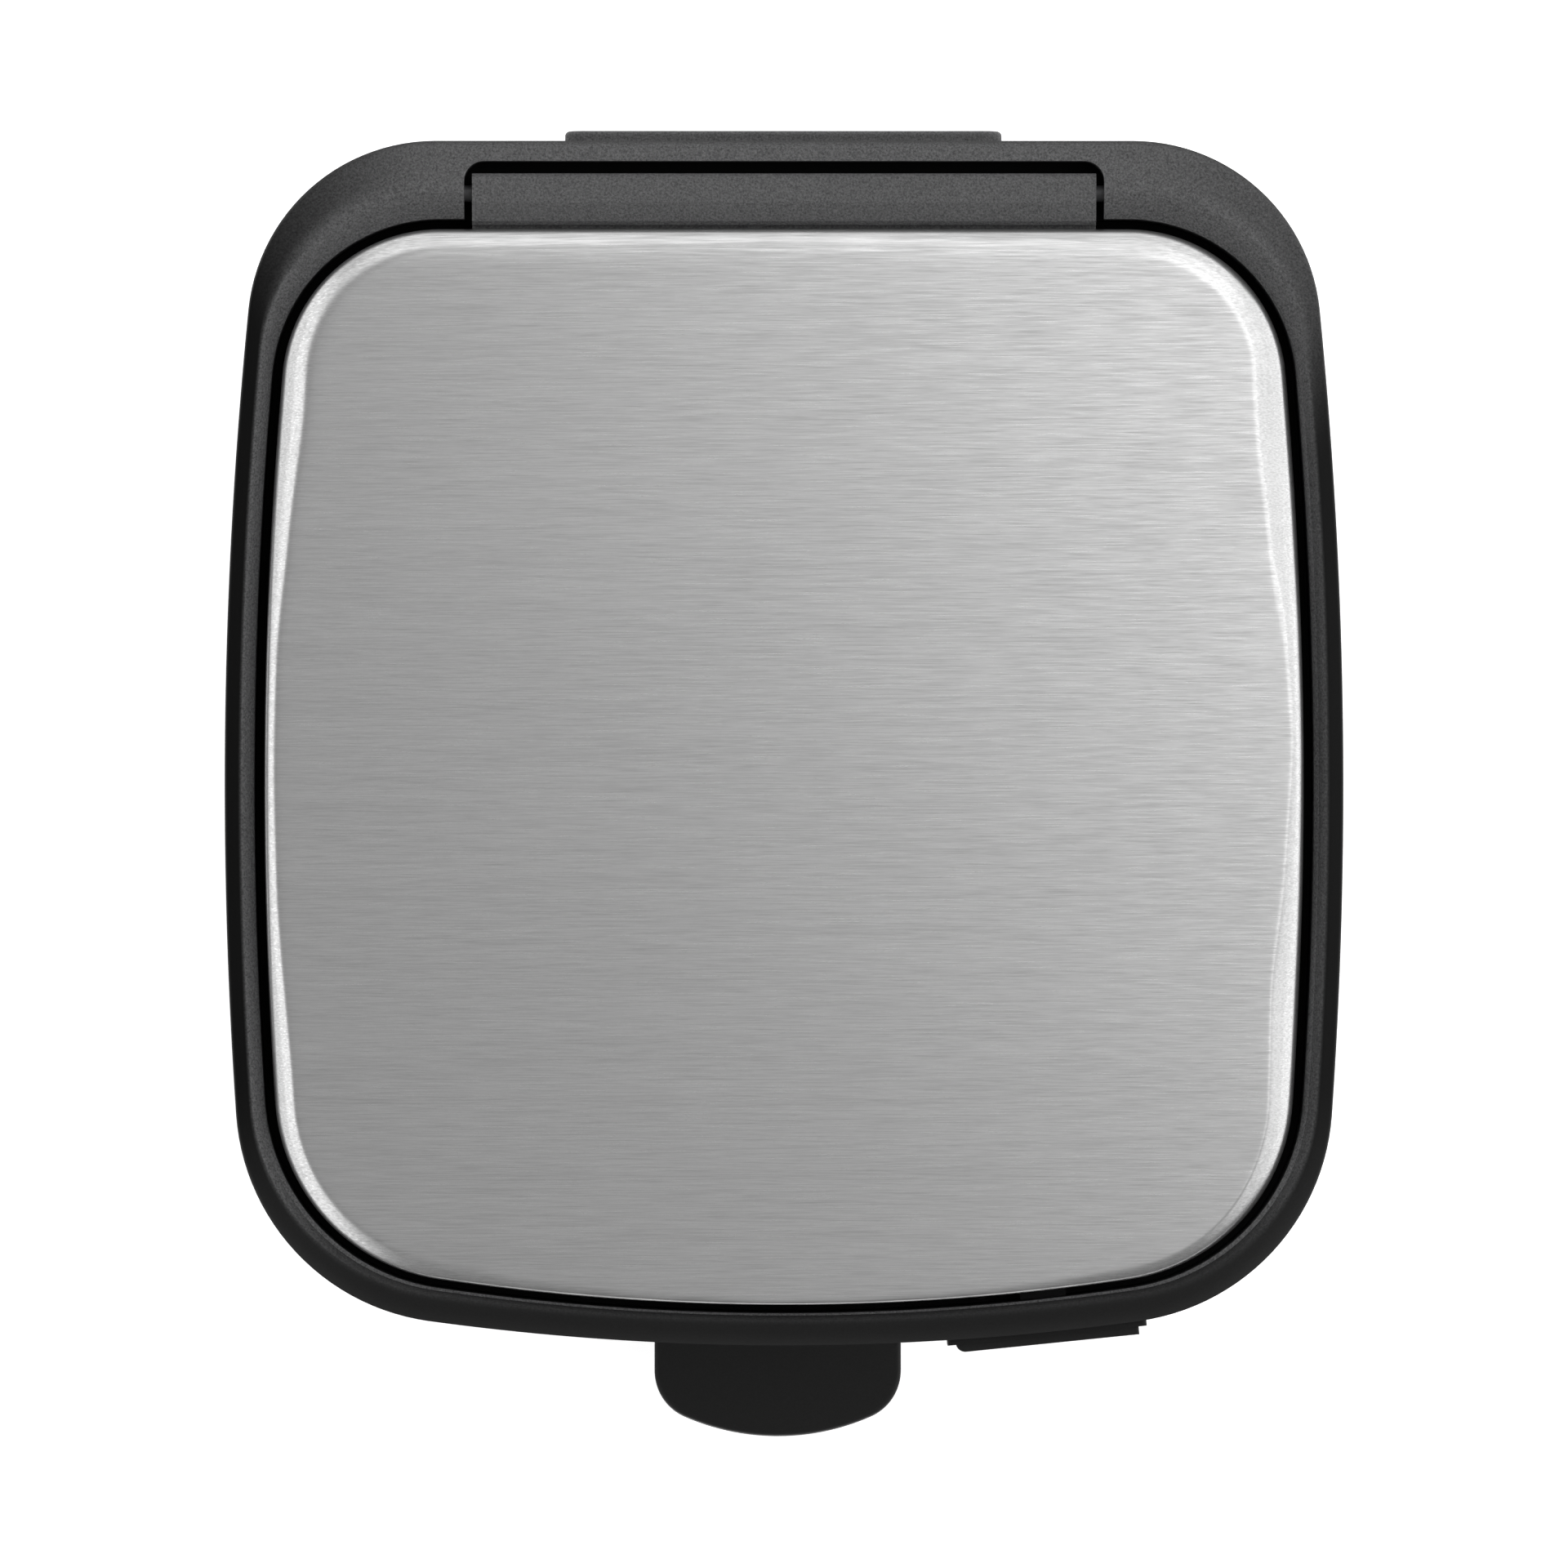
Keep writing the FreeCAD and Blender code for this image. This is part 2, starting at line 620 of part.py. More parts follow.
recess = at_lock(
    "rim_lock_recess",
    box("rim_lock_seat", (-30.6, 30.6), (-4, 1.6), (-7.1, 7.1), 0),
    box("rim_lock_window", (-28.6, 28.6), (-4, 6.2), (-5.6, 5.6), 0),
    box("rim_lock_slot", (-7.6, 7.6), (5, 12), (-3.1, 3.1), 0),
)
solid = fuse("rim_solid", cut("rim_light", rim, hollow), *additions)
finish("rim_frame", cut("rim_done", solid, notch, hinge_bore, rod_hole, recess))

# ---------------------------------------------------------------- lid lock
bezel = cut(
    "bezel_shape",
    soften("bezel_round", box("bezel_block", (-30.5, 30.5), (-1.3, 1.5), (-7, 7), 0), 1.5,
           runs_along(Y_AXIS)),
    box("bezel_window", (-28.3, 28.3), (-3, 3), (-5.3, 5.3), 0),
)
finish("lock_bezel", at_lock("bezel_placed", bezel))
button_block = box("button_block", (-28, 28), (-3.8, 1.2), (-5, 5), 0)
button_left = soften(
    "button_left", button_block, 3, lambda edge: runs_along(Z_AXIS)(edge)
    and edge.CenterOfMass.x < 0 and edge.CenterOfMass.y < -3
)
button_round = soften("button_round", button_left, 0.8, at_height(5))
button_seat = box("button_seat", (-7, 7), (-1, 2), (-2.5, 2.5), 0)
finish("lock_button", at_lock("button_placed", cut("button_shape", button_round, button_seat)))
tongue = soften(
    "tongue_round", box("tongue_block", (-7, 7), (-1, 13.2), (-2.5, 2.5), 0), 1,
    lambda edge: runs_along(X_AXIS)(edge) and edge.CenterOfMass.y > 5
)
finish("lock_tongue", at_lock("tongue_placed", tongue))

# ---------------------------------------------------------------- rear carry handle
plate = box("handle_plate", (-handle_half, handle_half), (rim_back - shell_inset, handle_back),
            (handle_low, handle_high))
plate = soften("handle_plate_round", plate, 6, runs_along(Y_AXIS))
plate = soften(
    "handle_face_round", plate, 1.5, lambda edge: edge.BoundBox.YLength < 0.01
    and edge.CenterOfMass.y > value_of(handle_back + body_shift) - 0.01
)
cup = box("handle_cup", (-57, 57), (160.5, rim_back - shell_inset + 0.2),
          (handle_low + 6, handle_high - 5.5))
finger_hole = box("handle_hole_block", (-54, 54), (163, 190), (handle_low + 9, handle_high - 8.5))
finger_hole = soften("handle_hole", finger_hole, 5, runs_along(Y_AXIS))
finish("rear_handle", cut("handle_hollow", fuse("handle_whole", plate, cup), finger_hole))

# ---------------------------------------------------------------- push rod, guides, damper
finish("push_rod", post("rod_bar", rod_r, 0, rod_y, (rod_low + 5, cap_z - cap_r + 1)))
foot_block = soften(
    "rod_foot_block", post("rod_foot_post", 4, 0, rod_y, (rod_low, rod_low + 13)), 0.8,
    at_height(rod_low)
)
foot_bore = post("rod_foot_bore", rod_r, 0, rod_y, (rod_low + 5, rod_low + 14))
finish("rod_foot", cut("rod_foot_shape", foot_block, foot_bore))
cap_bar = cross_bar("rod_cap_bar", cap_r, (-6, 6), rod_y, cap_z)
cap_bore = post("rod_cap_bore", rod_r, 0, rod_y, (cap_z - cap_r - 1, cap_z - cap_r + 1))
finish("rod_cap", cut("rod_cap_shape", cap_bar, cap_bore))
finish(
    "damper_piston",
    cut("piston_shape", post("piston_disc", 8.8, 0, rod_y, (386, 391)),
        post("piston_bore", rod_r, 0, rod_y, (385, 392))),
)
tube = fuse(
    "tube_whole",
    post("tube_wall", 11, 0, rod_y, (378, 444)),
    box("tube_bracket", (-9, 9), (rod_y + 8, rim_back - inner_face), (402, 420)),
)
tube_bores = [
    post("tube_chamber", 9.3, 0, rod_y, (381, 441)),
    post("tube_ends", 3.6, 0, rod_y, (377, 445)),
]
finish("damper_tube", cut("tube_shape", tube, *tube_bores))
guide_bores = post("guide_bores", rod_r + run_gap, 0, rod_y, (deck_low - 5, ledge_top + 3))
lower = fuse(
    "guide_low_whole",
    post("guide_low_sleeve", 6, 0, rod_y, (deck_low - 3, deck_low + 5)),
    post("guide_low_flange", 9, 0, rod_y, (deck_low + deck_thick, deck_low + 4.5)),
)
upper = fuse(
    "guide_high_whole",
    post("guide_high_sleeve", 4.5, 0, rod_y, (ledge_top - 5, ledge_top + 1.2)),
    post("guide_high_flange", 7, 0, rod_y, (ledge_top, ledge_top + 1.2)),
)
finish("rod_guides", cut("guides_bored", group("guide_pair", lower, upper), guide_bores))

# ---------------------------------------------------------------- bucket and liner ring
deck_top = deck_low + deck_thick
bucket = new_body("bucket_moulding")
loft(bucket, "AdditiveLoft", deck_top, bucket_outline(bucket_taper), bucket_top, bucket_outline(0))
inner_low = bucket_outline(bucket_taper + bucket_wall)
loft(bucket, "SubtractiveLoft", deck_top + 2.5, inner_low, bucket_top, bucket_outline(bucket_wall))
pad(bucket, bucket_top - 3, bucket_top, bucket_outline(-2), bucket_outline(0.5))
slots = []
for side, word in SIDES:
    slot = box(f"bucket_slot_block_{word}", span(side, 130, 30), (-45, 45), (551, 581))
    slots.append(soften(f"bucket_slot_{word}", slot, 8, runs_along(X_AXIS)))
finish("inner_bucket", cut("bucket_slotted", bucket, *slots))
liner = new_body("liner_moulding")
pad(liner, bucket_top, bucket_top + 3.5, bucket_outline(-3.6), bucket_outline(1))
pad(liner, bucket_top - 9, bucket_top, bucket_outline(-3.6), bucket_outline(-2.2))
fillet_level(liner, bucket_top + 3.5, 0.9)
finish("liner_ring", liner)

# ---------------------------------------------------------------- lid
skin = new_body("lid_skin")
pad(skin, lid_hem, lid_top, lid_outline(0))
pocket(skin, lid_hem, lid_top - lid_skin, lid_outline(lid_skin))
fillet_level(skin, lid_top - lid_skin, lid_round - lid_skin)
fillet_level(skin, lid_top, lid_round)
finish("lid_panel", skin)

carrier = new_body("lid_carrier")
carrier_top = lid_top - 9
raised_top = lid_top - 3.5
inside = lid_wall + 1
pad(carrier, lid_base, carrier_top, lid_outline(1))
fillet_level(carrier, carrier_top, 2)
pad(carrier, carrier_top, raised_top, lid_outline(16))
fillet_level(carrier, raised_top, 1.5)
pocket(carrier, lid_base, carrier_top - lid_wall, lid_outline(inside))
pocket(carrier, carrier_top - lid_wall - 1, raised_top - lid_wall, lid_outline(18.5))
bosses = []
cover_holes = []
lid_screws = []
for word, right, back in CORNERS:
    x, y = 118 * right, (86 if back > 0 else -104)
    bosses.append(post(f"lid_boss_{word}", 4, x, y, (cover_low + cover_thick, raised_top - 1)))
    cover_holes.append(post(f"lid_screw_hole_{word}", 1.7, x, y, (cover_low - 2, raised_top - 5)))
    shank = post(f"lid_screw_shank_{word}", 1.6, x, y, (cover_low, raised_top - 6))
    head = post(f"lid_screw_head_{word}", 3.5, x, y, (cover_low - 1.8, cover_low))
    lid_screws.append(fuse(f"lid_screw_{word}", shank, head))
bridge_z = hinge_z - 2.1
bridge_screws = []
bridge_bores = []
for i, x in enumerate((-72, -30, 30, 72)):
    back_face = lid_back - inside
    bridge_bores.append(depth_bar(f"bridge_bore_{i}", 1.25, x, (back_face - 1, 161), bridge_z))
    shank = depth_bar(f"bridge_shank_{i}", 1.25, x, (back_face, 160), bridge_z)
    head = depth_bar(f"bridge_head_{i}", 2.2, x, (back_face - 1.8, back_face), bridge_z)
    bridge_screws.append(fuse(f"bridge_screw_{i}", shank, head))
rod_notch = box("lid_rod_notch", (-9, 9), (lid_back - 5, 161.5), (lid_base - 1, cover_low + 3.2))
lock_mouth = at_lock("lid_lock_slot", box("lid_lock_block", (-8, 8), (12, 19), (-3.6, 3.6), 0))
solid = fuse("lid_solid", carrier, *bosses)
finish("lid_frame", cut("lid_done", solid, rod_notch, lock_mouth, *bridge_bores, *cover_holes))

cover = new_body("cover_sheet")
pad(cover, cover_low, cover_low + cover_thick, lid_outline(inside + 0.5))
cover_holes += [
    box("cover_filter_hole", (-46, 46), (62, 116), (cover_low - 1, cover_low + 5)),
    box("cover_rod_hole", (-14, 14), (134, 156), (cover_low - 1, cover_low + 5)),
]
finish("lid_inner_cover", cut("cover_cut", cover, *cover_holes))
finish("lid_screws", group("lid_screw_group", *lid_screws))

slab = prism(
    "bridge_slab",
    (-bridge_half, bridge_half),
    polygon(
        (lid_back + 1.5, hinge_z - 6.2),
        (hinge_y, hinge_z - 6.2),
        (hinge_y + 5.9, hinge_z),
        (hinge_y + 5.9, hinge_z + 5.3),
        (hinge_y + 5, hinge_z + 6.2),
        (lid_back + 8.2, hinge_z + 6.1),
        (lid_back + 2.6, hinge_z + 3.9),
        (lid_back + 1.5, hinge_z + 2.7),
    ),
)
barrel = cross_bar("bridge_barrel", barrel_r, (-bridge_half, bridge_half), hinge_y, hinge_z)
foot = box("bridge_foot", (-bridge_half, bridge_half), (lid_back - 1, 161),
           (lid_base + 4, lid_hem - 0.5))
rod_bore = cross_bar("bridge_rod_bore", hinge_pin_r, (-100, 100), hinge_y, hinge_z)
bridge = fuse("bridge_whole", slab, barrel, foot)
finish("hinge_bridge", cut("bridge_done", bridge, rod_bore, rod_notch, *bridge_bores))
rod_x = (-(notch_half + 11.5), notch_half + 11.5)
finish("hinge_rod", cross_bar("hinge_rod_bar", hinge_pin_r, rod_x, hinge_y, hinge_z))
finish("bridge_screws", group("bridge_screw_group", *bridge_screws))
crank_block = box("crank_block", (-10, 10), (139.6, 151.8), (lid_base - 2, carrier_top - lid_wall))
crank_hollow = cross_bar("crank_hollow", 8.2, (-12, 12), 151.8, cap_z + 1.6)
finish("lift_crank", cut("crank_done", crank_block, crank_hollow))

filter_box = box("filter_block", (-42, 42), (66, 112), (cover_low + 3.5, cover_low + 13))
finish("filter_cartridge", soften("filter_round", filter_box, 2, runs_along(Z_AXIS)))
grille = box("grille_block", (-48, 48), (60, 118), (cover_low - 2.2, cover_low))
grille = soften("grille_round", grille, 4, runs_along(Z_AXIS))
slits = []
for i in range(9):
    x = 9 * (i - 4)
    slits.append(box(f"grille_slit_{i}", (x - 2, x + 2), (68, 110), (cover_low - 3, cover_low + 1)))
finish("filter_cover", cut("grille_done", grille, *slits))

pads = []
for word, x, y in (("a", 60, -166.3), ("b", -60, -166.3), ("c", 60, 153.8), ("d", -60, 153.8)):
    pads.append(post(f"rest_pad_{word}", 3.2, x, y, (ledge_top, lid_base - 0.4)))
finish("lid_rest_pads", group("rest_pad_group", *pads))

# ---------------------------------------------------------------- compactor linkage
link_z = arm_z - link_drop
plate_y = arm_y - arm_len
grab_y = arm_y - handle_reach
pivots = ((arm_y, arm_z), (arm_y, link_z), (plate_y, arm_z), (plate_y, link_z))
for side, word in SIDES:
    x = span(side, bracket_x, bracket_thick)
    flange_x = span(side, bracket_x - 12.5, 12.5)
    web = box(f"lid_web_{word}", x, (arm_y - 6, arm_y + 6), (link_z, cover_low))
    toe = cross_bar(f"lid_web_toe_{word}", 6, x, arm_y, link_z)
    flange = box(f"lid_flange_{word}", flange_x, (arm_y - 10, arm_y + 8), (cover_low - 2.5, cover_low))
    holes = [cross_bar(f"lid_web_bore_{word}_{i}", pivot_r + run_gap, x, arm_y, z)
             for i, z in enumerate((arm_z, link_z))]
    whole = fuse(f"lid_bracket_whole_{word}", web, toe, flange)
    finish(f"lid_bracket_{word}", cut(f"lid_bracket_cut_{word}", whole, *holes))

arms = []
links = []
arm_pins = []
link_pins = []
plate_webs = []
plate_bores = []
catches = []
for side, word in SIDES:
    x = span(side, arm_x, arm_thick)
    flat = box(f"arm_flat_{word}", x, (plate_y, arm_y), (arm_z - arm_half, arm_z + arm_half))
    ends = [cross_bar(f"arm_end_{word}_{i}", arm_half, x, y, arm_z)
            for i, y in enumerate((plate_y, arm_y))]
    holes = [cross_bar(f"arm_hole_{word}_{i}", pivot_r, x, y, arm_z)
             for i, y in enumerate((plate_y, arm_y))]
    holes.append(cross_bar(f"arm_grab_hole_{word}", grab_r, x, grab_y, arm_z))
    arms.append(cut(f"arm_{word}", fuse(f"arm_whole_{word}", flat, *ends), *holes))
    x = span(side, link_x, link_thick)
    flat = box(f"link_flat_{word}", x, (plate_y, arm_y), (link_z - link_half, link_z + link_half))
    ends = [cross_bar(f"link_end_{word}_{i}", link_half, x, y, link_z)
            for i, y in enumerate((plate_y, arm_y))]
    holes = [cross_bar(f"link_hole_{word}_{i}", pivot_r - 0.8, x, y, link_z)
             for i, y in enumerate((plate_y, arm_y))]
    links.append(cut(f"link_{word}", fuse(f"link_whole_{word}", flat, *ends), *holes))
    for i, y in enumerate((plate_y, arm_y)):
        shank = cross_bar(f"arm_pin_{word}_{i}", pivot_r, span(side, bracket_x - 1, 9.5), y, arm_z)
        head = cross_bar(f"arm_pin_head_{word}_{i}", 4.5, span(side, arm_x + arm_thick, 1.5), y, arm_z)
        arm_pins.append(fuse(f"arm_pin_whole_{word}_{i}", shank, head))
        thin = cross_bar(f"link_pin_{word}_{i}", pivot_r - 0.8, span(side, link_x - 1, 5), y, link_z)
        thick = cross_bar(f"link_pin_end_{word}_{i}", pivot_r, span(side, link_x + link_thick, 5.6),
                          y, link_z)
        link_pins.append(fuse(f"link_pin_whole_{word}_{i}", thin, thick))
    x = span(side, bracket_x, bracket_thick)
    web = box(f"plate_web_{word}", x, (plate_y - 8, plate_y + 8), (plate_low + plate_skin, arm_z))
    top = cross_bar(f"plate_web_top_{word}", 6, x, plate_y, arm_z)
    flange = box(f"plate_flange_{word}", span(side, bracket_x - 12.5, 12.5),
                 (plate_y - 14, plate_y + 14), (plate_low + plate_skin, plate_low + plate_skin + 2.5))
    plate_webs.append(fuse(f"plate_web_whole_{word}", web, top, flange))
    for i, z in enumerate((arm_z, link_z)):
        plate_bores.append(cross_bar(f"plate_bore_{word}_{i}", pivot_r + run_gap, x, plate_y, z))
    x = span(side, 49.5, 6)
    clip = box(f"catch_block_{word}", x, (grab_y - 6.5, grab_y + 6.5), (arm_z - 5, cover_low))
    eye = cross_bar(f"catch_eye_{word}", grab_r + 0.4, x, grab_y, arm_z)
    throat = box(f"catch_throat_{word}", x, (grab_y - 4.4, grab_y + 4.4), (arm_z - 6, arm_z))
    catches.append(cut(f"catch_{word}", clip, eye, throat))
finish("compactor_arms", group("arm_pair", *arms))
finish("tie_links", group("link_pair", *links))
finish("arm_pins", group("arm_pin_group", *arm_pins))
finish("link_pins", group("link_pin_group", *link_pins))
finish("arm_catches", group("catch_pair", *catches))
grab_x = (-(arm_x + arm_thick), arm_x + arm_thick)
finish("grab_bar", cross_bar("grab_steel", grab_r, grab_x, grab_y, arm_z))
sleeve = cross_bar("grab_sleeve_block", 9, (-47, 47), grab_y, arm_z)
sleeve = soften("grab_sleeve_round", sleeve, 3, lambda edge: edge.BoundBox.XLength < 0.01)
sleeve_bore = cross_bar("grab_sleeve_bore", grab_r, (-50, 50), grab_y, arm_z)
finish("grab_sleeve", cut("grab_sleeve_done", sleeve, sleeve_bore))


def plate_outline(step):
    """The press plate's rounded rectangle, drawn inset all round."""

    def draw(sketch, tag):
        half, corner = plate_half - step, plate_corner - step
        back, front = plate_back - step, plate_front - step
        centres = (
            (half - corner, back - corner, 0),
            (corner - half, back - corner, 90),
            (corner - half, corner - front, 180),
            (half - corner, corner - front, 270),
        )
        arcs = []
        for x, y, start in centres:
            angles = (math.radians(start), math.radians(start + 90))
            arcs.append(add_arc(sketch, (value_of(x), value_of(y)), corner.value, *angles))
        lines = []
        for i, (x, y, start) in enumerate(centres):
            after_x, after_y, after = centres[(i + 1) % 4]
            turn = math.radians(start + 90)
            step_x, step_y = corner.value * math.cos(turn), corner.value * math.sin(turn)
            first = FreeCAD.Vector(value_of(x) + step_x, value_of(y) + step_y, 0)
            last = FreeCAD.Vector(value_of(after_x) + step_x, value_of(after_y) + step_y, 0)
            lines.append(sketch.addGeometry(Part.LineSegment(first, last), False))
        for i, arc in enumerate(arcs):
            sketch.addConstraint(Sketcher.Constraint("Tangent", arc, 2, lines[i], 1))
            sketch.addConstraint(Sketcher.Constraint("Tangent", lines[i], 2, arcs[(i + 1) % 4], 1))
            set_radius(sketch, f"{tag}_{i}_radius", arc, corner)
        pin_point(sketch, f"{tag}_first", arcs[0], 3, centres[0][0], centres[0][1])
        pin_point(sketch, f"{tag}_third", arcs[2], 3, centres[2][0], centres[2][1])

    return draw


tray = new_body("plate_tray")
pad(tray, plate_low, plate_high, plate_outline(0))
fillet_level(tray, plate_low, 4)
pocket(tray, plate_low + plate_skin, plate_high, plate_outline(2.5))
rib_z = (plate_low + plate_skin - 0.5, plate_low + plate_skin + 6)
ribs = [box(f"plate_rib_{i}", (x - 1, x + 1), (3 - plate_front, plate_back - 3), rib_z)
        for i, x in enumerate((-90, -30, 30, 90))]
ribs.append(box("plate_rib_cross", (3 - plate_half, plate_half - 3), (-83, -81), rib_z))
finish("press_plate", fuse("plate_ribbed", tray, *ribs))
finish("plate_brackets", cut("plate_webs_bored", group("plate_web_pair", *plate_webs), *plate_bores))
seal = new_body("plate_seal")
pad(seal, plate_low + 6, plate_low + 9, plate_outline(-2.5), plate_outline(0))
finish("plate_edge_seal", seal)

# ---------------------------------------------------------------- pedal
def on_pedal(obj):
    """Lays pieces drawn about the pedal's axis along the lever's slope."""
    tilt = FreeCAD.Rotation(X_AXIS, -pedal_tilt.value)
    place(obj, 0, pedal_y + body_shift, pedal_z, tilt)
    return obj


def tread_outline(step):
    """The tread seen from above: straight sides and back, bowed front, round front corners."""

    def draw(sketch, tag):
        half, corner = tread_half - step, tread_corner - step
        nose, tail = pedal_reach - step, pedal_reach - 64.3
        bow_y = tread_bow.value - pedal_reach.value
        bow_r = tread_bow.value - step
        x = half.value - corner.value
        y = bow_y - math.sqrt((bow_r - corner.value) ** 2 - x**2)
        lean = math.atan2(y - bow_y, x)
        pi = math.pi
        points = [FreeCAD.Vector(half.value, y, 0), FreeCAD.Vector(half.value, -tail.value, 0),
                  FreeCAD.Vector(-half.value, -tail.value, 0), FreeCAD.Vector(-half.value, y, 0)]
        right = sketch.addGeometry(Part.LineSegment(points[0], points[1]), False)
        rear = sketch.addGeometry(Part.LineSegment(points[1], points[2]), False)
        left = sketch.addGeometry(Part.LineSegment(points[2], points[3]), False)
        left_corner = add_arc(sketch, (-x, y), corner.value, pi, pi - lean)
        front = add_arc(sketch, (0, bow_y), bow_r, -pi - lean, lean)
        right_corner = add_arc(sketch, (x, y), corner.value, lean, 0)
        for first, end, after, start in (
            (right, 2, rear, 1),
            (rear, 2, left, 1),
        ):
            sketch.addConstraint(Sketcher.Constraint("Coincident", first, end, after, start))
        for first, end, after, start in (
            (left, 2, left_corner, 1),
            (left_corner, 2, front, 1),
            (front, 2, right_corner, 1),
            (right_corner, 2, right, 1),
        ):
            sketch.addConstraint(Sketcher.Constraint("Tangent", first, end, after, start))
        set_radius(sketch, f"{tag}_corner", left_corner, corner)
        set_radius(sketch, f"{tag}_corner_two", right_corner, corner)
        set_radius(sketch, f"{tag}_bow", front, tread_bow - step)
        pin_point(sketch, f"{tag}_bow_mid", front, 3, 0, tread_bow - pedal_reach)
        pin_point(sketch, f"{tag}_rear", rear, 1, half, -tail)
        pin_point(sketch, f"{tag}_rear_end", rear, 2, -half, -tail)

    return draw


tread = doc.addObject("PartDesign::Body", "tread_moulding")
pad(tread, tread_low, tread_high, tread_outline(0))
fillet_level(tread, tread_high, 1.6)
pocket(tread, tread_low, tread_high - 2.5, tread_outline(2.5))
pocket(tread, tread_low, tread_high - 2.5,
       rectangle((3 - tread_half, tread_half - 3), (-150, -(pedal_reach - 66))))
finish("pedal_tread", on_pedal(tread))

lever_parts = []
for side, word in SIDES:
    lever_parts.append(box(f"lever_bar_{word}", span(side, bar_x, bar_thick), (-182, pedal_tail),
                           (-bar_half, bar_half), 0))
across = (-(bar_x + bar_thick), bar_x + bar_thick)
lever_parts.append(box("lever_front", across, (-182, -152), (1.9, bar_half), 0))
lever_parts.append(box("lever_rear", across, (168, pedal_tail), (2.2, 5), 0))
lever_parts.append(box("lever_middle", across, (40, 52), (1.9, bar_half), 0))
lever_bores = [cross_bar("lever_bore", pivot_r + run_gap, (-(bar_x + 10), bar_x + 10), 0, 0, 0)]
tread_screws = []
for i, x in enumerate((-18, 18)):
    lever_bores.append(post(f"lever_hole_{i}", 1.6, x, -167, (0, 6), 0))
    head = post(f"tread_screw_head_{i}", 3.4, x, -167, (0.3, 1.9), 0)
    shank = post(f"tread_screw_shank_{i}", 1.6, x, -167, (1.9, 4.5), 0)
    tread_screws.append(fuse(f"tread_screw_{i}", head, shank))
lever = cut("lever_bored", fuse("lever_whole", *lever_parts), *lever_bores)
finish("pedal_lever", on_pedal(group("lever_placed", lever)))
finish("tread_screws", on_pedal(group("tread_screws_placed", *tread_screws)))
pin_x = (-(bar_x + 11), bar_x + 11)
finish("pedal_pin", cross_bar("pedal_pin_bar", pivot_r, pin_x, pedal_y, pedal_z))

# ---------------------------------------------------------------- check and export
doc.recompute()
for obj in doc.Objects:
    if "Invalid" in obj.State or "Error" in obj.State:
        raise RuntimeError(f"{obj.Name} did not build: {obj.State}")
for obj in finished:
    if obj.Shape.isNull() or not obj.Shape.isValid():
        raise RuntimeError(f"{obj.Label} is not a valid shape")
os.makedirs("parts", exist_ok=True)
for obj in finished:
    obj.Shape.exportStep(f"parts/{obj.Label}.step")
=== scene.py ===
"""Pedal bin with a hand trash compactor, seen from straight above."""
import json
import math

import bmesh
import bpy
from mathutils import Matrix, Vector, kdtree


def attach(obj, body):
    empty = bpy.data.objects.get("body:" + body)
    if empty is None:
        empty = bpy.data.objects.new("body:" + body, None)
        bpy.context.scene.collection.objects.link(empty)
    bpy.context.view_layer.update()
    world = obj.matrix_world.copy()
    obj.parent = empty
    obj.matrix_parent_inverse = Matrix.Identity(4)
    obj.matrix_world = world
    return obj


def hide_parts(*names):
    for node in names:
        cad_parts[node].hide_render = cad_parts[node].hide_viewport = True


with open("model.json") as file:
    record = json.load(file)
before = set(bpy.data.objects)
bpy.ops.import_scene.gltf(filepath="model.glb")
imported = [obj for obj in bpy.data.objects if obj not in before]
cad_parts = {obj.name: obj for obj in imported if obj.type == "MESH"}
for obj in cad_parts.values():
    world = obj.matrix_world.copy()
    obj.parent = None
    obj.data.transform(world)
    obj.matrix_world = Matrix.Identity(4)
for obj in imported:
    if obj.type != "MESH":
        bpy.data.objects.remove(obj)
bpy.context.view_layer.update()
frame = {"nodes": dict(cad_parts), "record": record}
nodes = frame["nodes"]
scene = bpy.context.scene
GRAIN = 1500  # cells per metre in the rim's leather grain
SHIFT = 0.024  # metres from the frame's origin back to the middle of the body


# ------------------------------------------------------------------ materials
def new_material(name):
    """A material with its node tree and its shader."""
    made = bpy.data.materials.new(name)
    made.use_nodes = True
    tree = made.node_tree
    return made, tree, tree.nodes["Principled BSDF"]


def add(tree, kind, **values):
    """A node, with its inputs set by name."""
    node = tree.nodes.new(kind)
    for key, value in values.items():
        if key in node.inputs:
            node.inputs[key].default_value = value
        else:
            setattr(node, key, value)
    return node


def stretched(tree, scale):
    """Object coordinates, scaled differently along each axis."""
    place = tree.nodes.new("ShaderNodeTexCoord")
    mapping = tree.nodes.new("ShaderNodeMapping")
    mapping.inputs["Scale"].default_value = scale
    tree.links.new(place.outputs["Object"], mapping.inputs["Vector"])
    return mapping.outputs["Vector"]


def noise(tree, scale, detail=3.0, rough=0.6):
    """Noise from 0 to 1. scale is its frequency along X, Y and Z, per metre."""
    node = add(tree, "ShaderNodeTexNoise", Detail=detail, Roughness=rough, Scale=1.0)
    tree.links.new(stretched(tree, scale), node.inputs["Vector"])
    return node.outputs["Fac"]


def ramp(tree, value, low, high, out_low, out_high):
    """value, moved from the span low to high into out_low to out_high."""
    node = add(tree, "ShaderNodeMapRange")
    node.inputs["From Min"].default_value = low
    node.inputs["From Max"].default_value = high
    node.inputs["To Min"].default_value = out_low
    node.inputs["To Max"].default_value = out_high
    tree.links.new(value, node.inputs["Value"])
    return node.outputs["Result"]


def mixed(tree, fac, first, second):
    """A mix of two colours. Each is a tuple or another node's output."""
    node = tree.nodes.new("ShaderNodeMix")
    node.data_type = "RGBA"
    for side, colour in (("A", first), ("B", second)):
        if isinstance(colour, tuple):
            node.inputs[side].default_value = (*colour, 1)
        else:
            tree.links.new(colour, node.inputs[side])
    tree.links.new(fac, node.inputs["Factor"])
    return node.outputs["Result"]


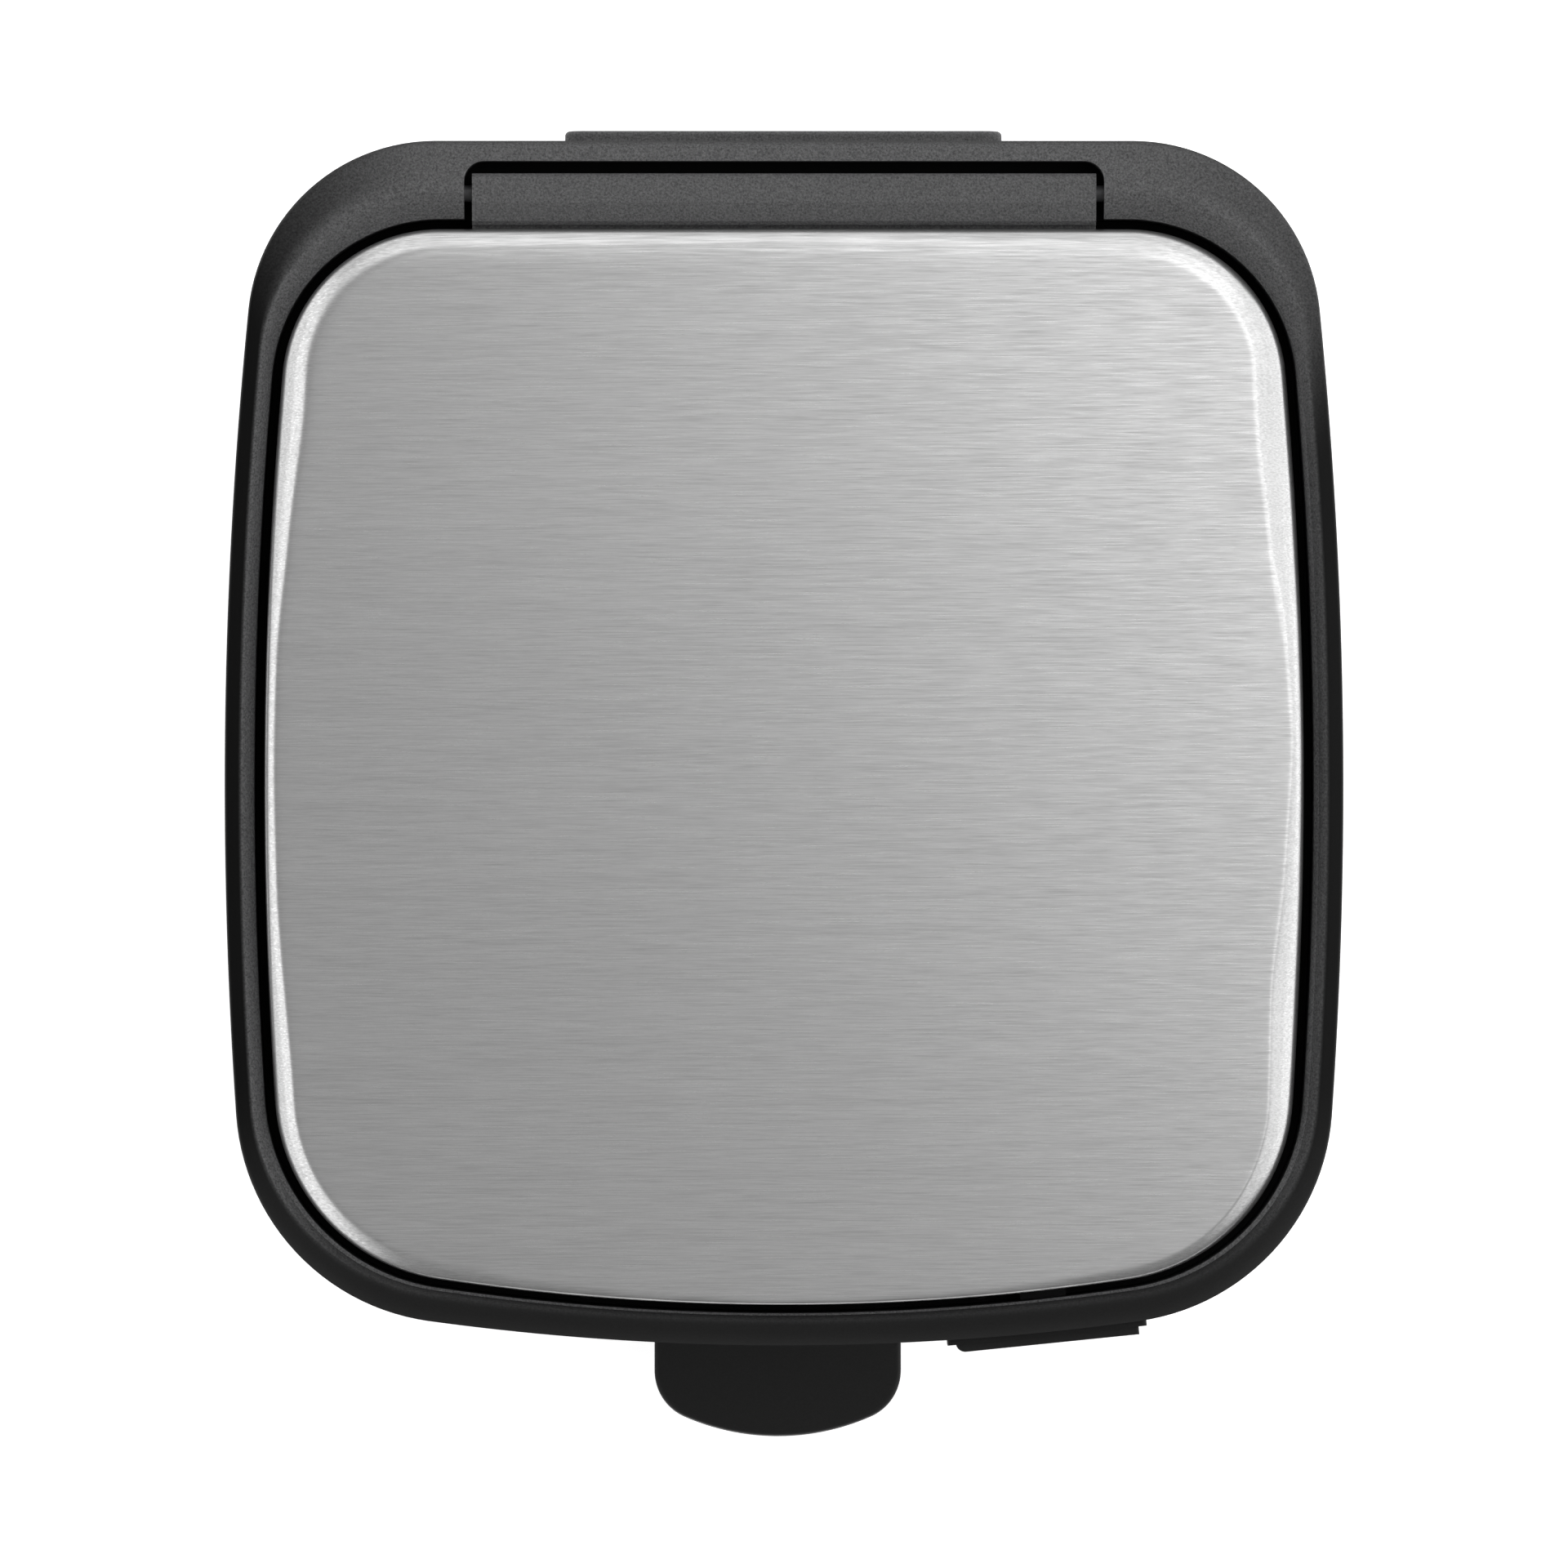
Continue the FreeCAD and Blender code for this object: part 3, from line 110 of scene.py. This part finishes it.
def bump(tree, shader, height, strength, distance):
    """Raises the surface by a height from 0 to 1, over a distance in metres."""
    node = add(tree, "ShaderNodeBump", Strength=strength, Distance=distance)
    tree.links.new(height, node.inputs["Height"])
    tree.links.new(node.outputs["Normal"], shader.inputs["Normal"])


def grey(tone):
    return (tone, tone, tone)


def neutral(tone, blue):
    """A grey with a little more blue."""
    return (tone, tone, blue)


def brushed(name, grain, low, high):
    """Brushed stainless steel between two colours. grain is the streaks' frequency on each axis."""
    made, tree, shader = new_material(name)
    shader.inputs["Metallic"].default_value = 1.0
    fine = noise(tree, grain, 4.0, 0.65)
    coarse = noise(tree, tuple(g / 7 for g in grain), 2.0, 0.5)
    both = add(tree, "ShaderNodeMath", operation="ADD")
    tree.links.new(fine, both.inputs[0])
    tree.links.new(ramp(tree, coarse, 0.3, 0.7, -0.03, 0.03), both.inputs[1])
    tone = ramp(tree, both.outputs[0], 0.3, 0.7, 0.0, 1.0)
    tree.links.new(mixed(tree, tone, low, high), shader.inputs["Base Color"])
    tree.links.new(ramp(tree, fine, 0.3, 0.7, 0.36, 0.26), shader.inputs["Roughness"])
    bump(tree, shader, fine, 0.25, 0.00006)
    return made


def plastic(name, low, high, rough, grain, strength, distance=0.00012, shine=0.5):
    """Moulded plastic between two colours and two roughnesses. grain is its cells per metre."""
    made, tree, shader = new_material(name)
    shader.inputs["Specular IOR Level"].default_value = shine
    cells = noise(tree, (grain,) * 3, 4.0, 0.7)
    cloud = noise(tree, (14.0,) * 3, 2.0, 0.5)
    tone = ramp(tree, cells, 0.3, 0.7, 0, 1)
    tree.links.new(mixed(tree, tone, low, high), shader.inputs["Base Color"])
    tree.links.new(ramp(tree, cloud, 0.3, 0.7, *rough), shader.inputs["Roughness"])
    bump(tree, shader, cells, strength, distance)
    return made


LID_STEEL = brushed("lid_steel", (60, 2200, 2200), grey(0.44), grey(0.68))
SHELL_STEEL = brushed("shell_steel", (40, 40, 2200), neutral(0.28, 0.277), neutral(0.42, 0.415))
BRIGHT_STEEL = brushed("bright_steel", (300, 300, 300), grey(0.55), grey(0.66))
TEXTURED = plastic("textured_plastic", neutral(0.045, 0.046), neutral(0.165, 0.167), (0.5, 0.62),
                   GRAIN, 1.0, 0.0005, shine=0.25)
SMOOTH = plastic("smooth_plastic", grey(0.016), grey(0.020), (0.4, 0.5), GRAIN, 0.05, shine=0.15)
GREY = plastic("grey_plastic", (0.15, 0.155, 0.16), (0.18, 0.185, 0.19), (0.42, 0.52), 1400, 0.12)
BUCKET = plastic("bucket_plastic", (0.05, 0.052, 0.054), (0.065, 0.067, 0.07), (0.4, 0.5),
                 1400, 0.15)
WHITE = plastic("white_plastic", (0.66, 0.65, 0.62), (0.74, 0.73, 0.70), (0.38, 0.46), 1400, 0.08)
RUBBER = plastic("rubber", grey(0.018), grey(0.03), (0.7, 0.85), 1800, 0.3)
COATED = plastic("powder_coat", neutral(0.07, 0.074), neutral(0.10, 0.105), (0.4, 0.5), 900, 0.25)
FELT = plastic("felt", neutral(0.05, 0.055), neutral(0.10, 0.105), (0.9, 1.0), 700, 1.0, 0.0006)


def rim_plastic():
    """Smooth outside, textured inside. The mesh's "grain" colour says in red how much texture
    there is, with painted shade and a painted highlight in it, and in green how much paler the
    smooth part is painted at the flat front: painted light."""
    made, tree, shader = new_material("rim_plastic")
    shader.inputs["Specular IOR Level"].default_value = 0.07
    shader.inputs["Roughness"].default_value = 0.5
    cells = noise(tree, (GRAIN,) * 3, 4.0, 0.7)
    speck = ramp(tree, cells, 0.3, 0.7, 0, 1)
    paint = add(tree, "ShaderNodeVertexColor", layer_name="grain")
    amount = tree.nodes.new("ShaderNodeSeparateColor")
    tree.links.new(paint.outputs["Color"], amount.inputs["Color"])
    # The smooth black has painted shade on the steep sides and painted light at the flat front.
    side_shaded_black = mixed(tree, speck, grey(0.002), grey(0.003))
    painted_light = mixed(tree, speck, grey(0.016), grey(0.020))
    plain = mixed(tree, amount.outputs["Green"], side_shaded_black, painted_light)
    textured = mixed(tree, speck, neutral(0.050, 0.051), neutral(0.185, 0.187))
    colour = mixed(tree, amount.outputs["Red"], plain, textured)
    tree.links.new(colour, shader.inputs["Base Color"])
    relief = add(tree, "ShaderNodeMath", operation="MULTIPLY")
    tree.links.new(cells, relief.inputs[0])
    tree.links.new(amount.outputs["Red"], relief.inputs[1])
    bump(tree, shader, relief.outputs[0], 1.0, 0.0005)
    return made


RIM_PLASTIC = rim_plastic()
BY_SLOT = {
    "brushed_steel": SHELL_STEEL,
    "textured_plastic": TEXTURED,
    "black_plastic": SMOOTH,
    "grey_plastic": GREY,
    "bucket_plastic": BUCKET,
    "white_plastic": WHITE,
    "black_rubber": RUBBER,
    "linkage_steel": COATED,
    "bright_steel": BRIGHT_STEEL,
    "filter_felt": FELT,
}
for entry in frame["record"]["subparts"]:
    obj = nodes[entry["node"]]
    obj.data.materials.clear()
    obj.data.materials.append(BY_SLOT[entry["material_slot"]])
nodes["lid_panel"].data.materials[0] = LID_STEEL

# ------------------------------------------------------------------ family outlines
# Every outline in plan is one family: long side arcs, a straight back, a bowed front and four
# rounded corners. Lengths from here on are in mm.
SIDE_R = 1450.0  # radius of the side arcs
SIDE_Y = -12.7  # where the sides are widest
COUNTS = {"side": 36, "rear": 26, "back": 30, "front": 26, "bow": 40}  # points on each stretch


def arc(centre, radius, start, end, count):
    """Points along an arc, without its last one. Angles are in radians."""
    turns = [start + (end - start) * i / count for i in range(count)]
    return [(centre[0] + radius * math.cos(a), centre[1] + radius * math.sin(a)) for a in turns]


def family(half, back, front, rear_r, front_r, bow):
    """An outline's points, anticlockwise from the front end of the right side.

    half is half its width, back and front its reach from the middle, bow the front's radius."""
    side_x, bow_y = half - SIDE_R, bow - front
    rear_y = back - rear_r
    rear_x = side_x + math.sqrt((SIDE_R - rear_r) ** 2 - (rear_y - SIDE_Y) ** 2)
    apart = math.hypot(side_x, bow_y - SIDE_Y)
    lean = math.atan2(bow_y - SIDE_Y, -side_x)
    reach = SIDE_R - front_r
    turn = math.acos((reach**2 + apart**2 - (bow - front_r) ** 2) / (2 * reach * apart))
    nose = (side_x + reach * math.cos(lean - turn), SIDE_Y + reach * math.sin(lean - turn))
    up = math.atan2(rear_y - SIDE_Y, rear_x - side_x)
    down = math.atan2(nose[1] - SIDE_Y, nose[0] - side_x)
    low = math.atan2(nose[1] - bow_y, nose[0])
    pi = math.pi
    points = arc((side_x, SIDE_Y), SIDE_R, down, up, COUNTS["side"])
    points += arc((rear_x, rear_y), rear_r, up, pi / 2, COUNTS["rear"])
    points += [(rear_x * (1 - 2 * i / COUNTS["back"]), back) for i in range(COUNTS["back"])]
    points += arc((-rear_x, rear_y), rear_r, pi / 2, pi - up, COUNTS["rear"])
    points += arc((-side_x, SIDE_Y), SIDE_R, pi - up, pi - down, COUNTS["side"])
    points += arc((-nose[0], nose[1]), front_r, pi - down, pi - low, COUNTS["front"])
    points += arc((0, bow_y), bow, -pi - low, low, COUNTS["bow"])
    return points + arc(nose, front_r, low, down, COUNTS["front"])


def level(points, z):
    """An outline at one height."""
    return [(x, y, z) for x, y in points]


def lid_loop(inset):
    """The lid's outline, moved inwards."""
    return family(157.7 - inset, 156 - inset, 170.4 - inset, 48 - inset, 58 - inset, 720)


def loops_mesh(name, loops, ring=False, cap=None):
    """A mesh through loops of equal length.

    A ring joins its last loop to its first; without it both ends are flat faces. The loop whose
    number is cap and the one after it are flat faces too, with no wall between them."""
    shape = bmesh.new()
    rows = [[shape.verts.new((x / 1000, y / 1000 + SHIFT, z / 1000)) for x, y, z in loop]
            for loop in loops]
    pairs = list(zip(rows, rows[1:]))
    if ring:
        pairs.append((rows[-1], rows[0]))
    else:
        shape.faces.new(rows[0])
        shape.faces.new(rows[-1])
    for number, (lower, upper) in enumerate(pairs):
        if number == cap:
            shape.faces.new(lower)
            shape.faces.new(upper)
            continue
        for i in range(len(lower)):
            j = (i + 1) % len(lower)
            shape.faces.new((lower[i], lower[j], upper[j], upper[i]))
    bmesh.ops.recalc_face_normals(shape, faces=shape.faces)
    mesh = bpy.data.meshes.new(name)
    shape.to_mesh(mesh)
    shape.free()
    obj = bpy.data.objects.new(name, mesh)
    scene.collection.objects.link(obj)
    return obj


def smooth(obj, angle):
    """Smooth shading that keeps edges sharper than an angle."""
    for face in obj.data.polygons:
        face.use_smooth = True
    obj.data.set_sharp_from_angle(angle=math.radians(angle))


def ease(low, high, value):
    """A smooth step from 0 at low to 1 at high; low may be the larger."""
    t = min(1.0, max(0.0, (value - low) / (high - low)))
    return t * t * (3 - 2 * t)


# ------------------------------------------------------------------ lid panel
LID_TOP = 640.0  # the crown's highest point
LID_LOW = 626.0  # the turned-down edge's lower end
SHEET = 0.7  # the steel's thickness
SLOPED_SHEET = 0.8  # the same straight down through the shoulder
# Width of the shoulder, the bright slope round the lid, by direction in degrees from the right.
BAND = [(0, 3.0), (12, 4.6), (20, 7.8), (32, 9.8), (44, 7.8), (65, 6.0), (90, 4.6), (115, 5.4),
        (134, 6.2), (147, 7.6), (158, 5.4), (170, 3.3), (182, 3.0), (196, 3.5), (214, 5.8),
        (230, 5.0), (248, 2.2), (270, 0.6), (290, 1.2), (308, 3.4), (322, 6.6), (334, 8.0),
        (345, 5.2), (360, 3.0)]


def band_width(x, y):
    """Width of the lid's shoulder at an edge point."""
    angle = math.degrees(math.atan2(y, x)) % 360
    for (a, wa), (b, wb) in zip(BAND, BAND[1:]):
        if a <= angle <= b:
            return wa + (wb - wa) * (0.6 * (angle - a) / (b - a) + 0.4 * ease(a, b, angle))
    return BAND[0][1]


def field_height(x, y):
    """The lid's gently crowned field."""
    return LID_TOP - 8e-5 * x * x - 6e-5 * (y + 7) ** 2


def lid_height(x, y, inset, edge):
    """Height of the lid at a distance in from its edge. edge is the nearest edge point."""
    ex, ey = edge
    wide = band_width(ex, ey)
    rear_right = ease(60, 120, ex) * ease(30, 100, ey)
    degrees = 26 + 2 * ease(70, 140, ex) - 3 * rear_right
    slope_z = field_height(ex, ey) - (wide - inset) * math.tan(math.radians(degrees))
    # The fold between field and slope is softest at the rear left and crispest on the right.
    soft = 0.3 + 0.5 * ease(60, 150, ey) * ease(120, 20, ex) - 0.12 * ease(60, 120, ex)
    top_z = field_height(x, y)
    gap = top_z - slope_z
    z = top_z - 0.5 * (gap + math.sqrt(gap * gap + soft * soft))
    z -= 0.08 * max(0.0, 0.55 * wide - inset)  # the slope's outer half is a little steeper
    roll = 1.1 + 1.1 * ease(100, 157, ex)  # radius of the edge itself, largest on the right
    if inset < roll:
        z -= roll - math.sqrt(max(0.0, roll**2 - (roll - inset) ** 2))
    return z


edge_points = lid_loop(0)


def lid_row(inset, below=0.0):
    """A loop at an inset on the lid's top, or some way below it."""
    return [(x, y, lid_height(x, y, inset, edge) - below)
            for (x, y), edge in zip(lid_loop(inset), edge_points)]


insets = [0, 0.04, 0.15, 0.35, 0.65, 1, 1.4, 1.8] + [2.3 + 0.45 * i for i in range(27)]
last = lid_loop(insets[-1])
FIELD_INSET = 40  # past every shoulder, so the height is the field's
outer = [level(edge_points, LID_LOW)] + [lid_row(inset) for inset in insets]
for i in range(1, 15):  # across the field, nearly to its middle
    k = 1 - i / 14.5
    outer.append([(x * k, y * k, lid_height(x * k, y * k, FIELD_INSET, edge))
                  for (x, y), edge in zip(last, edge_points)])
# The underside starts from a small flat cap in the middle, as the top ends in one.
inner = [[(x * k, y * k, field_height(x * k, y * k) - SHEET) for x, y in last]
         for k in (1 / 29, 0.5, 0.8)]
inner += [lid_row(inset, SLOPED_SHEET) for inset in (14, 10, 7, 5, 3, 1.5, SHEET)]
inner.append(level(lid_loop(SHEET), LID_LOW))
lid_skin = loops_mesh("lid_skin", outer + inner, ring=True, cap=len(outer) - 1)
smooth(lid_skin, 50)
lid_skin.data.materials.append(LID_STEEL)
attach(lid_skin, "lid")
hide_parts("lid_panel")


# ------------------------------------------------------------------ rim
RIM_LOW = 572  # lower edge of the rim's outer face
FACE_TOP = 626  # where the outer face turns into the shoulder
CREST_Z = 633.6  # where the fall to the opening starts
FALL = 4.6  # from there to the opening's edge
LEDGE_TOP, LEDGE_UNDER = 603, 600  # the flange under the lid
SKIRT_TOP = 612  # inside the hollow wall, outboard of the flange
LIP = 0.6  # the front's lip is flat past this share of the way to the opening


def shoulder_height(t, y):
    """Height of the rim between its outer face (t = 0) and its crest (t = 1)."""
    rear = ease(95, 165, y)
    front = ease(-105, -165, y)
    edge_drop = max(0.0, 1 - t / 0.12) ** 2
    crest_drop = max(0.0, t - 0.7) ** 2
    side_z = 630.2 + 3.8 * t - 1.2 * edge_drop - 2.4 * crest_drop
    rear_z = 631.8 + 2.2 * t - 1.8 * edge_drop - 2.0 * crest_drop
    front_z = 634 - 5.5 * (1 - t) ** 1.7
    z = side_z * (1 - rear) + rear_z * rear
    return z * (1 - front) + front_z * front


def fall_height(k, y):
    """Height of the rim between its crest (k = 0) and the lid's opening (k = 1)."""
    sloping = CREST_Z - FALL * k**1.3
    flat = CREST_Z - FALL * min(k, LIP) ** 1.3
    return sloping + (flat - sloping) * ease(-110, -150, y)


def between(first, second, t, height):
    """A loop part of the way from one outline to another, at a height that depends on y."""
    return [(a[0] + (b[0] - a[0]) * t, a[1] + (b[1] - a[1]) * t, height(t, a[1]))
            for a, b in zip(first, second)]


def rear_texture_and_shade(t, x, y):
    """How textured the rear part of the shoulder is, by its place across the shoulder. Its outer
    part has painted shade toward the rear corners, most at the left, and the crest keeps its full
    texture as a painted highlight.
    """
    # Painted shade on the outer part of the rear corners, strongest at the left.
    painted_light = 0.65 * ease(-100, -150, x) + 0.35 * ease(100, 155, x)
    rear = ease(112 - 0.12 * x, 180 - 0.05 * x, y)
    return rear * (1 - painted_light * (1 - ease(0.6, 1.0, t))) * ease(-0.03, 0.1, t)


rim_outer = family(170, 183, 183, 57, 68, 795)
crest = family(164.7, 166.8, 175.0, 53, 62.5, 765)
opening = family(161, 159.3, 173.2, 51.3, 61.3, 720)
mouth = family(151.7, 139.6, 164.9, 42, 52, 720)
wall = family(163.5, 161.8, 176.2, 53.8, 63.8, 720)
skirt = family(167.5, 180.5, 180.5, 54.5, 65.5, 795)

# Each row is a loop, its texture, whether the texture thins at the front and right, and its
# place across the shoulder. The thinning at the right is painted shade.
rows = [(level(rim_outer, RIM_LOW), 0.0, False, None)]
rows.append((level(rim_outer, FACE_TOP), 0.0, False, 0))
for t in (0, 0.02, 0.05, 0.1, 0.2, 0.3, 0.4, 0.5, 0.6, 0.7, 0.8, 0.9, 0.97):
    loop = between(rim_outer, crest, t, shoulder_height)
    rows.append((loop, max(0.0, (t - 0.85) / 0.2), True, t))
rows.append((level(crest, CREST_Z + 0.05), 0.9, True, None))
for k in (0.06, 0.14, 0.24, 0.36, 0.5, 0.6, 0.64, 0.78, 0.9, 1.0):
    rows.append((between(crest, opening, k, fall_height), 1.0, k <= LIP, None))
rows.append((level(opening, 627.9), 1.0, False, None))
for outline, z in ((opening, LEDGE_TOP), (mouth, LEDGE_TOP), (mouth, LEDGE_UNDER),
                   (wall, LEDGE_UNDER), (wall, SKIRT_TOP), (skirt, SKIRT_TOP), (skirt, RIM_LOW)):
    rows.append((level(outline, z), 0.0, False, None))

rim = loops_mesh("rim", [loop for loop, *_ in rows], ring=True)
paint = rim.data.color_attributes.new("grain", "FLOAT_COLOR", "POINT")
for number, (_, texture, thins, place) in enumerate(rows):
    for i, (x, y) in enumerate(rim_outer):
        amount = texture
        if thins:
            # Thinner texture on the right is painted shade.
            right = ease(60, 150, x) * ease(150, 90, y)
            amount *= (1 - 0.78 * ease(-125, -172, y)) * (1 - 0.45 * right)
        if place is not None:
            # The rear shoulder's texture carries painted shade at the corners and a painted
            # highlight on the crest.
            amount = max(amount, rear_texture_and_shade(place, x, y))
        # Green is painted light: the smooth black is paler toward the flat front.
        colour = (amount, ease(-100, -165, y), 0, 1)
        paint.data[number * len(rim_outer) + i].color = colour
rim.data.materials.append(RIM_PLASTIC)


LOCK_X, LOCK_Y, LOCK_TURN = 80, -179, math.radians(5.78)
ROD_Y, ROD_Z = 167.1, 626  # the hinge rod's axis
SMOOTH_UNDER = 0.627  # metres: what the cuts bare below this height has no texture


def cutter(name, outline, low, high):
    """A prism to cut with: an outline, then its lower and upper heights."""
    return loops_mesh(name, [level(outline, low), level(outline, high)])


def block(x, y, corner=0.0):
    """A rectangle's outline, its two rear corners rounded."""
    outline = [(x[0], y[0]), (x[1], y[0])]
    if not corner:
        return outline + [(x[1], y[1]), (x[0], y[1])]
    middle_y, quarter = y[1] - corner, math.pi / 2
    outline += arc((x[1] - corner, middle_y), corner, 0, quarter, 8)
    outline.append((x[1] - corner, y[1]))
    outline += arc((x[0] + corner, middle_y), corner, quarter, 2 * quarter, 8)
    return outline + [(x[0], middle_y)]


def circle(x, y, radius):
    return arc((x, y), radius, 0, 2 * math.pi, 32)


def at_lock(outline):
    """An outline drawn about the lock, moved to the lock's place on the rim's front."""
    c, s = math.cos(LOCK_TURN), math.sin(LOCK_TURN)
    return [(LOCK_X + x * c - y * s, LOCK_Y + x * s + y * c) for x, y in outline]


def carve(obj, *tools):
    """Cuts tools out of a mesh, then deletes them."""
    for tool in tools:
        bool_mod = obj.modifiers.new(tool.name, "BOOLEAN")
        bool_mod.operation = "DIFFERENCE"
        bool_mod.solver = "EXACT"
        bool_mod.object = tool
    bpy.context.view_layer.update()
    seen = bpy.context.evaluated_depsgraph_get()
    mesh = bpy.data.meshes.new_from_object(
        obj.evaluated_get(seen), preserve_all_data_layers=True, depsgraph=seen
    )
    obj.modifiers.clear()
    obj.data = mesh
    for tool in tools:
        bpy.data.objects.remove(tool)


def repaint(obj, before):
    """Gives the vertices that a cut made the paint of the nearest one before it."""
    near = kdtree.KDTree(len(before))
    for i, (spot, _) in enumerate(before):
        near.insert(spot, i)
    near.balance()
    layer = obj.data.color_attributes["grain"]
    for vertex in obj.data.vertices:
        red, green, *_ = before[near.find(vertex.co)[1]][1]
        if vertex.co.z <= SMOOTH_UNDER:
            red = 0
        layer.data[vertex.index].color = (red, green, 0, 1)


uncut = [(v.co.copy(), tuple(paint.data[v.index].color)) for v in rim.data.vertices]
bores = []  # seats of the hinge rod's two ends
ring = circle(ROD_Y, ROD_Z, 2.6)
for x in (-110, 96):
    bores.append(loops_mesh("bore", [[(x + d, y, z) for y, z in ring] for d in (0, 14)]))
carve(
    rim,
    cutter("notch", block((-97.2, 97.2), (150, 176.8), 6), 614, 640),
    cutter("lock_seat", at_lock(block((-30.6, 30.6), (-4, 1.6))), 608.9, 623.1),
    cutter("lock_window", at_lock(block((-28.6, 28.6), (-4, 6.2))), 610.4, 621.6),
    cutter("lock_slot", at_lock(block((-7.6, 7.6), (5, 14))), 612.9, 619.1),
    cutter("rod_hole", circle(0, 150, 4.5), 598, 606),
    *bores,
)
repaint(rim, uncut)
smooth(rim, 38)
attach(rim, "bin")
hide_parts("rim_frame")

# ------------------------------------------------------------------ stage, in metres again
floor_mesh = bpy.data.meshes.new("floor")
shape = bmesh.new()
bmesh.ops.create_grid(shape, x_segments=1, y_segments=1, size=6)
shape.to_mesh(floor_mesh)
shape.free()
floor = bpy.data.objects.new("floor", floor_mesh)
scene.collection.objects.link(floor)
made, tree, shader = new_material("floor_paint")
shader.inputs["Roughness"].default_value = 0.9
paper = mixed(tree, noise(tree, (3, 3, 3)), grey(0.93), grey(0.95))
tree.links.new(paper, shader.inputs["Base Color"])
shader.inputs["Emission Color"].default_value = (1, 1, 1, 1)
shader.inputs["Emission Strength"].default_value = 0.7
floor_mesh.materials.append(made)

world = bpy.data.worlds.new("studio")
scene.world = world
world.use_nodes = True
tree = world.node_tree
sky = tree.nodes["Background"]
direction = tree.nodes.new("ShaderNodeTexCoord")
parts = tree.nodes.new("ShaderNodeSeparateXYZ")
tree.links.new(direction.outputs["Generated"], parts.inputs["Vector"])
tree.links.new(ramp(tree, parts.outputs["Z"], 0.1, 0.85, 0.16, 0.38), sky.inputs["Strength"])
sky.inputs["Color"].default_value = (1, 1, 1, 1)
scene.view_settings.view_transform = "Standard"


def softbox(name, place, target, width, height, power):
    """A rectangular light in metres and watts, turned to its target."""
    data = bpy.data.lights.new(name, "AREA")
    data.shape = "RECTANGLE"
    data.size, data.size_y = width, height
    data.energy = power
    obj = bpy.data.objects.new(name, data)
    obj.location = place
    aim = Vector(target) - Vector(place)
    obj.rotation_euler = aim.to_track_quat("-Z", "Y").to_euler()
    scene.collection.objects.link(obj)


# over_box brightens the lid's field to the right. The others each light their side's shoulder.
softbox("over_box", (1.0, 0.77, 2.9), (0.1, 0.1, 0.6), 2.0, 2.0, 18.5)
softbox("right_box", (2.0, 0.1, 2.1), (0, 0, 0.6), 4.0, 1.2, 12)
softbox("left_box", (-2.0, -0.4, 2.1), (0, -0.4, 0.6), 5.0, 0.85, 23)
softbox("rear_box", (0.3, 2.1, 2.3), (0.2, 0, 0.6), 3.8, 1.2, 18)
softbox("low_box", (2.8, 0.2, 1.15), (0, 0, 0.62), 3.2, 1.6, 24)

# The camera looks straight down from far off, a touch to the left of the middle.
ASIDE = 0.018
OVER_LID = 4.8
camera_data = bpy.data.cameras.new("camera")
camera_data.lens = 362
camera_data.sensor_width = 36
camera = bpy.data.objects.new("camera", camera_data)
camera.location = (-ASIDE, 0.0116, 5.42)
camera.rotation_euler = (0, -math.atan(ASIDE / OVER_LID), 0)
scene.collection.objects.link(camera)
scene.camera = camera
